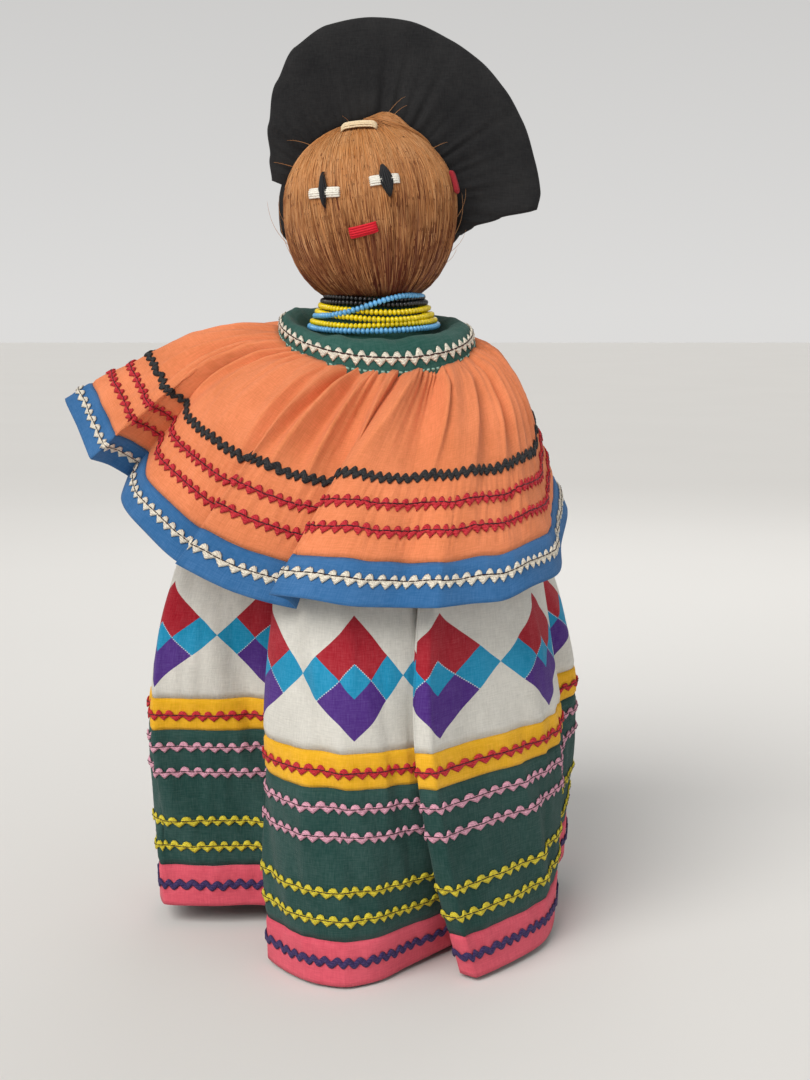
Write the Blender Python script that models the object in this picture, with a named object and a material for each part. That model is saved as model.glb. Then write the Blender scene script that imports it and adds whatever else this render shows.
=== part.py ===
"""Palmetto fibre doll in a patchwork skirt and a gathered cape.

Metres, +Z up. The doll faces -Y and +X is the viewer's right. The origin is
the centre of the flat underside of the fibre body, which stands on z = 0.
Both cloth garments are closed rings of cloth: a top edge, a hem and rows
between them, each row a fixed length of cloth up from the hem, so that every
band and every ric-rac braid runs along the rows.
"""

import math

import bmesh
import bpy
from mathutils import Matrix, Vector

MM = 0.001
GAP = 0.0003
CLOTH_THICKNESS = 0.0009
BRAID_THICKNESS = 0.0008
BRAID_HALF_WIDTH = 0.0018

# Fibre body: a stuffed trunk with sloping shoulders and a short neck, as radius and height.
BODY_PROFILE = (
    (0.034, 0.0), (0.036, 0.06), (0.035, 0.12), (0.037, 0.175), (0.0416, 0.200),
    (0.033, 0.209), (0.024, 0.217), (0.0145, 0.225),
)
NECK_TOP_RADIUS = 0.0115
NECK_CLEARANCE = 0.0006
BODY_SIDES = 20

# Head: a ball of fibre, fuller and deeper below its middle, with a tied tuft on its crown.
HEAD_CENTRE = Vector((0.0, 0.0, 0.2745))
HEAD_RADIUS = 0.0325
HEAD_TOP_HEIGHT = 0.0305
HEAD_JAW_DEPTH = 0.0349
HEAD_JAW_FULLNESS = 2.3
NECK_FLAT_RADIUS = 0.010
TUFT_HEIGHT = 0.0045
TUFT_SPREAD = 0.26
TUFT_DIRECTION = Vector((0.20, 0.03, 1.0)).normalized()

# The face looks a little to the viewer's left and leans the same way.
FACE_AZIMUTH = -10.0
FACE_LATITUDE = 12.0
FACE_ROLL = 10.0

# Stitches on the head: degrees across and up in the face's own frame, and widths and heights.
STITCH_LIFT = 0.0006
EYE_INNER = 9.5
EYE_OUTER = 31.0
EYE_UP = 2.0
EYE_WIDTH = 0.0038
EYE_HEIGHT = 0.0009
PUPIL_ACROSS = 20.5
PUPIL_TOP = 13.5
PUPIL_BOTTOM = -10.5
PUPIL_WIDTH = 0.0031
PUPIL_LIFT = STITCH_LIFT + 0.0013
PUPIL_HEIGHT = 0.0008
EAR_LEFT_ACROSS = -87.0
EAR_RIGHT_ACROSS = 80.0
EAR_TOP = 14.0
EAR_BOTTOM = -6.0
EAR_WIDTH = 0.0052
EAR_HEIGHT = 0.0014
MOUTH_ACROSS = 10.5
MOUTH_UP = -30.0
MOUTH_WIDTH = 0.0042
MOUTH_HEIGHT = 0.0012
TIE_LEFT = (-36, 58)
TIE_RIGHT = (10, 61)
TIE_WIDTH = 0.0036
TIE_HEIGHT = 0.0018

# Hair board: a cloth cap on the back of the head with a wide flat brim.
BOARD_LEAN = 0.12
BOARD_THICKNESS = 0.0042
CAP_THICKNESS = 0.0022
CAP_LIFT = 0.0013
CAP_RIM_BACK = 14.0
CAP_NAPE_BACK = 56.0
CAP_DROP_START = 0.25
# Brim outline about the head's centre: degrees from +X up to +Z, and radius in millimetres.
BOARD_OUTLINE = (
    (-16, 35.2), (-10, 39.0), (-4, 49.0), (-0.5, 62.5), (5, 64.0), (17, 64.0), (30, 65.3),
    (41, 66.6), (53, 67.9), (65, 68.7), (78, 70.3), (90, 70.2), (104, 69.2), (116, 65.5),
    (127, 58.2), (141, 49.0), (153, 42.0), (165, 38.0),
)
NAPE_SECTORS = 9
BRIM_ROUNDING = 0.0008
BOWL_INNER_SHARES = (0.86, 0.7, 0.54, 0.38, 0.22, 0.08, 0.0)
BOWL_OUTER_SHARES = (0.22, 0.4, 0.62, 0.85)

# Collar ring, where the cape is sewn to the yoke. It tips down at the front.
COLLAR_RADIUS = 0.0362
COLLAR_CENTRE_X = 0.0022
COLLAR_HEIGHT = 0.2255
COLLAR_SLOPE_X = -0.07
COLLAR_SLOPE_FRONT = 0.33
COLLAR_SLOPE_BACK = 0.12

# Lengths of cloth up from the hem, in millimetres.
CAPE_LENGTH = 88.0
CAPE_WHITE_BRAID = 8.0
CAPE_HEM_BAND = 14.0
CAPE_RED_BRAID_LOWER = 23.5
CAPE_RED_BRAID_UPPER = 32.5
CAPE_BLACK_BRAID = 41.5
CAPE_ROWS = (0.0, CAPE_WHITE_BRAID, CAPE_HEM_BAND, CAPE_RED_BRAID_LOWER,
             CAPE_RED_BRAID_UPPER, CAPE_BLACK_BRAID, 60.0, 76.0, CAPE_LENGTH)
CAPE_ARCH = 0.0075

SKIRT_LENGTH = 210.0
SKIRT_PURPLE_BRAID = 8.0
SKIRT_HEM_BAND = 15.5
SKIRT_YELLOW_BRAID_LOWER = 23.6
SKIRT_YELLOW_BRAID_UPPER = 34.0
SKIRT_PINK_BRAID_LOWER = 54.4
SKIRT_PINK_BRAID_UPPER = 65.0
SKIRT_GREEN_BAND = 71.7
SKIRT_RED_BRAID = 78.3
SKIRT_YELLOW_BAND = 85.0
SKIRT_ROWS = (0.0, SKIRT_PURPLE_BRAID, SKIRT_HEM_BAND,
              SKIRT_YELLOW_BRAID_LOWER, SKIRT_YELLOW_BRAID_UPPER,
              SKIRT_PINK_BRAID_LOWER, SKIRT_PINK_BRAID_UPPER,
              SKIRT_GREEN_BAND, SKIRT_RED_BRAID, SKIRT_YELLOW_BAND,
              110.0, 136.0, 168.0, SKIRT_LENGTH)
WAIST_RADIUS = 0.0435
WAIST_HEIGHT = 0.2030
SKIRT_FULLNESS = 0.025
GATHER_START = 0.36
GATHER_POWER = 1.8
RISE_POWER = 0.96
# The right front pleat leans: its edge stands further left up the skirt than at the hem.
PLEAT_COLUMN = 8
PLEAT_SWING = 0.019
PLEAT_SWING_REACH_LEFT = 0.035
PLEAT_SWING_REACH_RIGHT = 0.065
PLEAT_SWING_TOP = 0.6
# The crease behind the pleat is deep at the hem and eases forward up the skirt.
CREASE_COLUMN = 6
CREASE_EASE = 0.022
CREASE_REACH = 0.06
CREASE_TOP = 0.45

# Yoke in section: how far in from the collar ring and how far up, in millimetres.
YOKE_SECTION = ((0.0, 0.0), (-1.0, 5.6), (-3.0, 7.0), (-6.0, 5.6), (-12.3, 0.7), (-20.6, 16.2))
YOKE_ROWS = (0.0, 5.7, 8.1, 11.4, 19.4, 37.0)
YOKE_BRAID = 3.3
YOKE_NECK_RADIUS = 0.017

# Hems as folds: x and y in plan and the height z, in millimetres, counter
# clockwise from above. Each line is one panel or pleat of the hem.
SKIRT_HEM = (
    # Front panel, from its folded left edge round to the crease on its right.
    (-37, -55, 1.5), (-29, -68, 1), (-18, -78, 1), (-8, -81, 1), (3, -76, 1),
    (14, -64, 1.5), (33, -45, 3),
    # Right front panel, which laps over the crease.
    (37, -55, 2), (33, -70, 1.5), (38, -74, 1.5), (51, -62, 2), (65, -43, 2.5),
    (71, -16, 5), (69, 2, 8),
    # Plain back of the skirt, in shallow pleats.
    (78, 20, 14), (78, 40, 17), (65, 50, 14), (54, 63, 10), (38, 76, 6),
    (20, 72, 5), (2, 80, 4), (-17, 72, 4), (-34, 76, 5), (-50, 62, 6),
    (-64, 56, 7), (-67, 38, 8), (-78, 22, 8), (-84, -4, 8),
    # Left panel, set back, and its pleat under the front panel.
    (-80, -20, 8), (-62, -22, 8), (-42, -21, 8), (-29, -24, 7), (-26, -35, 6),
    (-31, -46, 3),
)
CAPE_HEM = (
    # Wing at the left, with a flute below its tip.
    (-117, 0, 202), (-109, -17, 192), (-102, -31, 182), (-97, -22, 179),
    (-92, -17, 174), (-90, -25, 167), (-80, -43, 156), (-66, -58, 145),
    (-48, -62, 139), (-34, -66, 135), (-25, -67, 133), (-27, -73, 137),
    # Front panel, which laps over the end of the wing.
    (-33, -78, 140), (-20, -86, 140), (-5, -89, 138), (10, -86, 137),
    (24, -92, 138), (36, -84, 138), (46, -79, 138), (57, -68, 141),
    (67, -50, 142), (72, -14, 148), (77, 20, 159),
    # Plain back.
    (70, 46, 163), (56, 62, 160), (42, 82, 162), (20, 84, 158), (0, 92, 160),
    (-22, 84, 158), (-44, 84, 162), (-60, 68, 164), (-80, 60, 174),
    (-94, 40, 184), (-110, 24, 196),
)

FIBRE = (0.33, 0.155, 0.048)
FIBRE_DARK = (0.23, 0.10, 0.035)
BLACK = (0.012, 0.012, 0.014)
CREAM = (0.80, 0.70, 0.50)
WHITE = (0.74, 0.72, 0.64)
RED = (0.60, 0.012, 0.03)
YOKE_GREEN = (0.012, 0.107, 0.084)
ORANGE = (0.80, 0.24, 0.10)
BLUE = (0.026, 0.15, 0.38)
BRAID_WHITE = (0.86, 0.80, 0.66)
PATCH_WHITE = (0.71, 0.69, 0.61)
YELLOW = (0.89, 0.48, 0.003)
SKIRT_GREEN = (0.011, 0.051, 0.048)
HEM_PINK = (0.76, 0.098, 0.15)
BRAID_PINK = (0.79, 0.40, 0.51)
BRAID_YELLOW = (0.76, 0.63, 0.026)
PURPLE = (0.032, 0.014, 0.107)
BEAD_YELLOW = (0.87, 0.68, 0.0)
BEAD_BLUE = (0.147, 0.456, 0.79)

# Strands from the lowest to the highest, lying up the yoke's neck.
NECKLACES = (
    ("necklace_blue_lower", BEAD_BLUE),
    ("necklace_yellow_lower", BEAD_YELLOW),
    ("necklace_blue_upper", BEAD_BLUE),
    ("necklace_yellow_middle", BEAD_YELLOW),
    ("necklace_yellow_upper", BEAD_YELLOW),
    ("necklace_black_lower", BLACK),
    ("necklace_black_upper", BLACK),
)
STRAND_RADIUS = 0.00085
STRAND_FIRST = 0.0028
STRAND_PITCH = 0.0021


def clear_scene():
    for thing in list(bpy.data.objects):
        bpy.data.objects.remove(thing, do_unlink=True)


def make_material(name, colour, roughness=0.85, metallic=0.0):
    material = bpy.data.materials.new(name)
    material.use_nodes = True
    shader = material.node_tree.nodes["Principled BSDF"]
    shader.inputs["Base Color"].default_value = (*colour, 1.0)
    shader.inputs["Roughness"].default_value = roughness
    shader.inputs["Metallic"].default_value = metallic
    return material


def add_object(name, bm, colour, roughness=0.85, smooth=True):
    """Turn a bmesh into a named object with its own material."""
    mesh = bpy.data.meshes.new(name)
    bmesh.ops.recalc_face_normals(bm, faces=bm.faces)
    bm.to_mesh(mesh)
    bm.free()
    if smooth:
        mesh.shade_smooth()
        mesh.set_sharp_from_angle(angle=math.radians(50))
    mesh.materials.append(make_material(name, colour, roughness))
    thing = bpy.data.objects.new(name, mesh)
    bpy.context.collection.objects.link(thing)
    return thing


def join_rings(bm, rings, closed=False):
    """Skin a stack of equal closed rings of vertices with quads."""
    pairs = list(zip(rings, rings[1:]))
    if closed:
        pairs.append((rings[-1], rings[0]))
    count = len(rings[0])
    for upper, lower in pairs:
        for i in range(count):
            j = (i + 1) % count
            bm.faces.new((upper[i], upper[j], lower[j], lower[i]))


def turned_solid(name, profile, sides, colour, centre=Vector((0, 0, 0)), roughness=0.9):
    """Turn a profile of (radius, height) about Z and close it flat at both ends."""
    bm = bmesh.new()
    rings = []
    for radius, height in profile:
        ring = []
        for i in range(sides):
            angle = 2 * math.pi * i / sides
            spot = Vector((radius * math.cos(angle), radius * math.sin(angle), height))
            ring.append(bm.verts.new(centre + spot))
        rings.append(ring)
    join_rings(bm, rings)
    bm.faces.new(rings[0])
    bm.faces.new(rings[-1])
    return add_object(name, bm, colour, roughness)


def collar_point(angle, radius=COLLAR_RADIUS):
    """A point of the tilted collar ring."""
    x = radius * math.cos(angle)
    y = radius * math.sin(angle)
    slope = COLLAR_SLOPE_FRONT if y < 0 else COLLAR_SLOPE_BACK
    height = COLLAR_HEIGHT + COLLAR_SLOPE_X * x + slope * y
    return Vector((COLLAR_CENTRE_X + x, y, height))


def hem_shares(points):
    """How far round the hem each point lies, from 0 to 1, measured along the cloth."""
    runs = [(after - point).length for point, after in zip(points, points[1:] + points[:1])]
    girth = sum(runs)
    return [sum(runs[:i]) / girth for i in range(len(points))]


class ClothRing:
    """A closed ring of cloth as a net of points: rows up from the hem, columns round it."""

    def __init__(self, hem, rows, place, shares=None):
        self.rows = [row * MM for row in rows]
        self.count = len(hem)
        hem_points = [Vector(point) * MM for point in hem]
        self.shares = shares or hem_shares(hem_points)
        self.net = []
        for row in self.rows:
            share_up = row / self.rows[-1]
            self.net.append([place(hem_points[i], self.shares[i], share_up) for i in range(self.count)])
        self.lifts = [[self.lift_at(k, i) for i in range(self.count)] for k in range(len(self.rows))]

    def lift_at(self, k, i):
        """The mitred outward vector of the net at row k, column i."""
        row = self.net[k]
        below = self.net[max(k - 1, 0)][i]
        above = self.net[min(k + 1, len(self.rows) - 1)][i]
        down = (below - above).normalized()
        before = row[i] - row[i - 1]
        after = row[(i + 1) % self.count] - row[i]
        first = down.cross(before).normalized()
        second = down.cross(after).normalized()
        mitre = (first + second) / max(1.0 + first.dot(second), 0.35)
        if mitre.length > 1.5:
            mitre = mitre.normalized() * 1.5
        return mitre

    def point(self, i, length, lift):
        """The point a length of cloth up column i, lifted off the middle of the cloth."""
        k = 0
        while k < len(self.rows) - 2 and self.rows[k + 1] < length:
            k += 1
        part = (length - self.rows[k]) / (self.rows[k + 1] - self.rows[k])
        spot = self.net[k][i].lerp(self.net[k + 1][i], part)
        outward = self.lifts[k][i].lerp(self.lifts[k + 1][i], part)
        return spot + outward * lift

    def shell(self, name, start, end, colour, low=-CLOTH_THICKNESS / 2, high=CLOTH_THICKNESS / 2, rows=True):
        """A closed shell of the cloth between two lengths up from the hem, in millimetres."""
        lengths = [start * MM + GAP / 2]
        if rows:
            lengths += [row for row in self.rows if start * MM + GAP < row < end * MM - GAP]
        lengths.append(end * MM - GAP / 2)
        bm = bmesh.new()
        rings = []
        for lift, order in ((high, lengths), (low, lengths[::-1])):
            for length in order:
                rings.append([bm.verts.new(self.point(i, length, lift)) for i in range(self.count)])
        join_rings(bm, rings, closed=True)
        return add_object(name, bm, colour)

    def braid(self, name, middle, colour):
        """A flat braid sewn along one row."""
        low = CLOTH_THICKNESS / 2 + GAP
        half = BRAID_HALF_WIDTH / MM
        high = low + BRAID_THICKNESS
        return self.shell(name, middle - half, middle + half, colour, low, high, rows=False)


def eased(up, top):
    """A move that starts at the hem and is whole at the height top."""
    return 1 - (1 - min(1.0, up / top)) ** 2


def pleat_move(share, up):
    """How far left the leaning pleat, and how far forward the crease behind it, has moved at this height."""
    shares = hem_shares([Vector(point) for point in SKIRT_HEM])
    past_pleat = share - shares[PLEAT_COLUMN]
    past_crease = share - shares[CREASE_COLUMN]
    reach = PLEAT_SWING_REACH_LEFT if past_pleat < 0 else PLEAT_SWING_REACH_RIGHT
    left = PLEAT_SWING * math.exp(-((past_pleat / reach) ** 2)) * eased(up, PLEAT_SWING_TOP)
    forward = CREASE_EASE * math.exp(-((past_crease / CREASE_REACH) ** 2)) * eased(up, CREASE_TOP)
    return Vector((-left, -forward, 0.0))


def skirt_place(hem, share, up):
    """Where a point of the skirt lies: straight up from the hem, then gathered in to the waist."""
    start = math.atan2(SKIRT_HEM[0][1], SKIRT_HEM[0][0])
    angle = start + 2 * math.pi * share
    waist = Vector((WAIST_RADIUS * math.cos(angle), WAIST_RADIUS * math.sin(angle), WAIST_HEIGHT))
    gather = max(0.0, (up - GATHER_START) / (1 - GATHER_START)) ** GATHER_POWER
    spot = hem.lerp(waist, gather)
    full = 1 + SKIRT_FULLNESS * math.sin(math.pi * min(1.0, up / 0.75))
    rise = hem.z + (WAIST_HEIGHT - hem.z) * up ** RISE_POWER
    return Vector((spot.x * full, spot.y * full, rise)) + pleat_move(share, up) * (1 - gather)


def cape_place(hem, share, up):
    """Where a point of the cape lies: an arched line from the hem to the collar ring."""
    angle = math.pi + 2 * math.pi * share
    top = collar_point(angle, COLLAR_RADIUS + CLOTH_THICKNESS)
    away = Vector((math.cos(angle), math.sin(angle), 0.8)).normalized()
    arch = 4 * up * (1 - up) * (0.6 + 0.8 * up)
    return hem.lerp(top, up) + away * CAPE_ARCH * arch


def neck_level(radius):
    """How much of the collar's tilt is left at a smaller radius: none at the neck."""
    return ((radius - YOKE_NECK_RADIUS) / (COLLAR_RADIUS - YOKE_NECK_RADIUS)) ** 2


def neck_point(angle, radius, height):
    """A point round the neck whose ring is tilted as the collar is, but less and less."""
    level = neck_level(radius)
    tilt = (collar_point(angle).z - COLLAR_HEIGHT) * level
    x = COLLAR_CENTRE_X * level + radius * math.cos(angle)
    return Vector((x, radius * math.sin(angle), height + tilt))


def yoke_place(edge, share, up):
    """Where a point of the yoke lies along its section, over the shoulder and up the neck."""
    reach = up * YOKE_ROWS[-1]
    k = 0
    while k < len(YOKE_ROWS) - 2 and YOKE_ROWS[k + 1] < reach - 1e-6:
        k += 1
    part = (reach - YOKE_ROWS[k]) / (YOKE_ROWS[k + 1] - YOKE_ROWS[k])
    inward = YOKE_SECTION[k][0] * (1 - part) + YOKE_SECTION[k + 1][0] * part
    rise = YOKE_SECTION[k][1] * (1 - part) + YOKE_SECTION[k + 1][1] * part
    angle = math.pi + 2 * math.pi * share
    return neck_point(angle, COLLAR_RADIUS + inward * MM, COLLAR_HEIGHT + rise * MM)


def yoke_ring(cape):
    """The yoke's net, with the cape's own columns so that the seam between them fits."""
    edge = [tuple(collar_point(math.pi + 2 * math.pi * share) / MM) for share in cape.shares]
    return ClothRing(edge, YOKE_ROWS, yoke_place, cape.shares)


def head_direction(azimuth, latitude):
    """Unit direction from the head's centre: azimuth 0 faces the viewer, in degrees."""
    a = math.radians(azimuth)
    b = math.radians(latitude)
    return Vector((math.sin(a) * math.cos(b), -math.cos(a) * math.cos(b), math.sin(b)))


def face_direction(across, up):
    """A direction in the face's own frame, degrees to the viewer's right and up from its middle."""
    spot = head_direction(across, up)
    roll = Matrix.Rotation(math.radians(-FACE_ROLL), 3, "Y")
    pitch = Matrix.Rotation(math.radians(-FACE_LATITUDE), 3, "X")
    yaw = Matrix.Rotation(math.radians(FACE_AZIMUTH), 3, "Z")
    return yaw @ (pitch @ (roll @ spot))


def head_surface(direction, lift=0.0):
    """The head's surface in a direction, with the tuft's hump on the crown."""
    d = direction.normalized()
    half_height, fullness = (HEAD_TOP_HEIGHT, 2.0) if d.z > 0 else (HEAD_JAW_DEPTH, HEAD_JAW_FULLNESS)
    flat = math.hypot(d.x, d.y) / HEAD_RADIUS
    reach = (flat ** fullness + abs(d.z / half_height) ** fullness) ** (-1 / fullness)
    apart = d.angle(TUFT_DIRECTION)
    reach += TUFT_HEIGHT * math.exp(-((apart / TUFT_SPREAD) ** 2))
    return HEAD_CENTRE + d * (reach + lift)


def neck_drop():
    """How far below the head's centre its flat underside lies."""
    share = (NECK_FLAT_RADIUS / HEAD_RADIUS) ** HEAD_JAW_FULLNESS
    return HEAD_JAW_DEPTH * (1 - share) ** (1 / HEAD_JAW_FULLNESS)


def make_head():
    """The head ball, flat where it sits on the neck."""
    bm = bmesh.new()
    sides = 24
    levels = 13
    low = -math.degrees(math.atan2(neck_drop(), NECK_FLAT_RADIUS))
    rings = []
    for k in range(levels):
        latitude = low + (84.0 - low) * k / (levels - 1)
        ring = [head_surface(head_direction(360 * i / sides, latitude)) for i in range(sides)]
        rings.append([bm.verts.new(spot) for spot in ring])
    join_rings(bm, rings)
    bm.faces.new(rings[0])
    crown = bm.verts.new(head_surface(Vector((0, 0, 1))))
    for i in range(sides):
        bm.faces.new((rings[-1][i], rings[-1][(i + 1) % sides], crown))
    return add_object("head", bm, FIBRE, 0.8)


def make_body():
    """The trunk, shoulders and neck, one turned solid of fibre."""
    neck_top = (NECK_TOP_RADIUS, HEAD_CENTRE.z - neck_drop() - NECK_CLEARANCE)
    return turned_solid("body", (*BODY_PROFILE, neck_top), BODY_SIDES, FIBRE_DARK)


def stitch_on_head(name, start, end, width, lift, thickness, colour, points=5, pointed=False):
    """A bar of satin stitch that follows the head from one direction to another."""
    bm = bmesh.new()
    rings = []
    for k in range(points):
        part = k / (points - 1)
        along = start.slerp(end, part)
        across = along.cross(end - start).normalized()
        taper = math.sin(math.pi * (0.08 + 0.84 * part)) if pointed else 1.0
        swing = across * (width / 2 * taper / HEAD_RADIUS)
        ring = []
        for side, height in ((-1, 0.0), (-0.7, thickness), (0.7, thickness), (1, 0.0)):
            ring.append(bm.verts.new(head_surface(along + swing * side, lift + height)))
        rings.append(ring)
    join_rings(bm, rings)
    bm.faces.new(rings[0])
    bm.faces.new(rings[-1])
    return add_object(name, bm, colour, 0.6)


def make_face():
    """Eyes, mouth, ears and tie, all stitched flat on the head."""
    for side, name, ear_across in ((-1, "left", EAR_LEFT_ACROSS), (1, "right", EAR_RIGHT_ACROSS)):
        inner = face_direction(side * EYE_INNER, EYE_UP)
        outer = face_direction(side * EYE_OUTER, EYE_UP)
        stitch_on_head("eye_white_" + name, inner, outer, EYE_WIDTH, STITCH_LIFT, EYE_HEIGHT, WHITE, points=6)
        top = face_direction(side * PUPIL_ACROSS, PUPIL_TOP)
        bottom = face_direction(side * PUPIL_ACROSS, PUPIL_BOTTOM)
        stitch_on_head("pupil_" + name, top, bottom, PUPIL_WIDTH, PUPIL_LIFT, PUPIL_HEIGHT, BLACK,
                       points=6, pointed=True)
        ear_top = face_direction(ear_across, EAR_TOP)
        ear_bottom = face_direction(ear_across, EAR_BOTTOM)
        stitch_on_head("ear_" + name, ear_top, ear_bottom, EAR_WIDTH, STITCH_LIFT, EAR_HEIGHT, RED,
                       points=6, pointed=True)
    left = face_direction(-MOUTH_ACROSS, MOUTH_UP)
    right = face_direction(MOUTH_ACROSS, MOUTH_UP)
    stitch_on_head("mouth", left, right, MOUTH_WIDTH, STITCH_LIFT, MOUTH_HEIGHT, RED)
    stitch_on_head("top_tie", head_direction(*TIE_LEFT), head_direction(*TIE_RIGHT), TIE_WIDTH, STITCH_LIFT,
                   TIE_HEIGHT, CREAM, points=7)


def board_sectors():
    """Sectors of the cap: the brim's outline, then even steps with no brim round the nape."""
    sectors = list(BOARD_OUTLINE[::-1])
    last = BOARD_OUTLINE[0][0]
    step = (360 - (BOARD_OUTLINE[-1][0] - last)) / (NAPE_SECTORS + 1)
    sectors += [(last - step * k, 0.0) for k in range(1, NAPE_SECTORS + 1)]
    return sectors


def board_rim(angle):
    """Direction of the cap's rim: beside the face above, and well back of the neck below."""
    below = max(0.0, -math.sin(math.radians(angle)) - CAP_DROP_START) / (1 - CAP_DROP_START)
    back = math.radians(CAP_RIM_BACK + (CAP_NAPE_BACK - CAP_RIM_BACK) * min(1.0, 1.4 * below))
    flat = math.radians(angle)
    return Vector((math.cos(flat) * math.cos(back), math.sin(back), math.sin(flat) * math.cos(back)))


def make_board():
    """Cap and brim in one: inner bowl, brim front, brim edge, brim back and outer bowl."""
    bm = bmesh.new()
    sectors = board_sectors()
    outer_lift = CAP_LIFT + CAP_THICKNESS
    back = Vector((0, 1, 0))

    def bowl(angle, share, lift):
        return head_surface(board_rim(angle).slerp(back, share), lift)

    def brim(sector, grow, depth):
        angle, reach = sector
        base = bowl(angle, 0.0, CAP_LIFT)
        flat = math.radians(angle)
        away = Vector((math.cos(flat), BOARD_LEAN * math.sin(flat), math.sin(flat)))
        here = math.hypot(base.x - HEAD_CENTRE.x, base.z - HEAD_CENTRE.z)
        extent = max(CAP_THICKNESS * 0.6, reach * MM - here)
        thickness = CAP_THICKNESS + (BOARD_THICKNESS - CAP_THICKNESS) * min(1.0, extent / 0.012)
        return base + away * (extent + grow) + back * thickness * depth

    rings = []
    for share in BOWL_INNER_SHARES:
        rings.append([bm.verts.new(bowl(a, share, CAP_LIFT)) for a, reach in sectors])
    for grow, depth in ((0.0, 0.0), (BRIM_ROUNDING, 0.5), (0.0, 1.0)):
        rings.append([bm.verts.new(brim(sector, grow, depth)) for sector in sectors])
    for share in BOWL_OUTER_SHARES:
        rings.append([bm.verts.new(bowl(a, share, outer_lift)) for a, reach in sectors])
    join_rings(bm, rings)
    for ring, lift in ((rings[0], CAP_LIFT), (rings[-1], outer_lift)):
        pole = bm.verts.new(head_surface(back, lift))
        for i in range(len(ring)):
            bm.faces.new((ring[i], ring[(i + 1) % len(ring)], pole))
    return add_object("hair_board", bm, BLACK, 0.75)


def make_necklace(name, colour, order, strand_sides=4, sides=18):
    """One strand of beads as a thin ring, lying on the yoke's slope up the neck."""
    foot = Vector((YOKE_SECTION[-2][0], YOKE_SECTION[-2][1])) * MM
    slope = (Vector(YOKE_SECTION[-1]) * MM - foot).normalized()
    outward = Vector((slope.y, -slope.x))
    under = foot + slope * (STRAND_FIRST + STRAND_PITCH * order)
    clear = CLOTH_THICKNESS / 2 + STRAND_RADIUS + 2 * GAP
    bm = bmesh.new()
    rings = []
    for i in range(sides):
        angle = 2 * math.pi * i / sides
        out = Vector((math.cos(angle), math.sin(angle), 0))
        base = neck_point(angle, COLLAR_RADIUS + under.x, COLLAR_HEIGHT + under.y)
        centre = base + out * outward.x * clear + Vector((0, 0, outward.y * clear))
        ring = []
        for k in range(strand_sides):
            turn = math.pi / 4 + 2 * math.pi * k / strand_sides
            spot = out * math.cos(turn) + Vector((0, 0, math.sin(turn)))
            ring.append(bm.verts.new(centre + spot * STRAND_RADIUS))
        rings.append(ring)
    join_rings(bm, rings, closed=True)
    return add_object(name, bm, colour, 0.25)


def make_skirt():
    skirt = ClothRing(SKIRT_HEM, SKIRT_ROWS, skirt_place)
    skirt.shell("skirt_hem", 0.0, SKIRT_HEM_BAND, HEM_PINK)
    skirt.shell("skirt_green_band", SKIRT_HEM_BAND, SKIRT_GREEN_BAND, SKIRT_GREEN)
    skirt.shell("skirt_yellow_band", SKIRT_GREEN_BAND, SKIRT_YELLOW_BAND, YELLOW)
    skirt.shell("skirt_patchwork_band", SKIRT_YELLOW_BAND, SKIRT_LENGTH, PATCH_WHITE)
    skirt.braid("skirt_purple_ricrac", SKIRT_PURPLE_BRAID, PURPLE)
    skirt.braid("skirt_yellow_ricrac_lower", SKIRT_YELLOW_BRAID_LOWER, BRAID_YELLOW)
    skirt.braid("skirt_yellow_ricrac_upper", SKIRT_YELLOW_BRAID_UPPER, BRAID_YELLOW)
    skirt.braid("skirt_pink_ricrac_lower", SKIRT_PINK_BRAID_LOWER, BRAID_PINK)
    skirt.braid("skirt_pink_ricrac_upper", SKIRT_PINK_BRAID_UPPER, BRAID_PINK)
    skirt.braid("skirt_red_ricrac", SKIRT_RED_BRAID, RED)


def make_cape():
    cape = ClothRing(CAPE_HEM, CAPE_ROWS, cape_place)
    cape.shell("cape_hem", 0.0, CAPE_HEM_BAND, BLUE)
    cape.shell("cape", CAPE_HEM_BAND, CAPE_LENGTH, ORANGE)
    cape.braid("cape_white_ricrac", CAPE_WHITE_BRAID, BRAID_WHITE)
    cape.braid("cape_red_ricrac_lower", CAPE_RED_BRAID_LOWER, RED)
    cape.braid("cape_red_ricrac_upper", CAPE_RED_BRAID_UPPER, RED)
    cape.braid("cape_black_ricrac", CAPE_BLACK_BRAID, BLACK)
    yoke = yoke_ring(cape)
    yoke.shell("yoke", 0.0, YOKE_ROWS[-1], YOKE_GREEN)
    yoke.braid("yoke_ricrac", YOKE_BRAID, BRAID_WHITE)


def main():
    clear_scene()
    make_body()
    make_head()
    make_face()
    make_board()
    for order, (name, colour) in enumerate(NECKLACES):
        make_necklace(name, colour, order)
    make_skirt()
    make_cape()


main()
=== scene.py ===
"""Palmetto fibre doll: its cloth, braid, beads, thread and fibre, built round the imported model.

Metres, +Z up. The doll faces -Y and +X is the viewer's right. Cloth is made as rings: a share
from 0 to 1 runs round a ring, counter clockwise from above, and a length runs up it from the hem.
"""

import bisect
import math
import random

import bmesh
import bpy
from bpy.props import FloatProperty, FloatVectorProperty, IntProperty, PointerProperty
from mathutils import Matrix, Vector, noise


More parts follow.
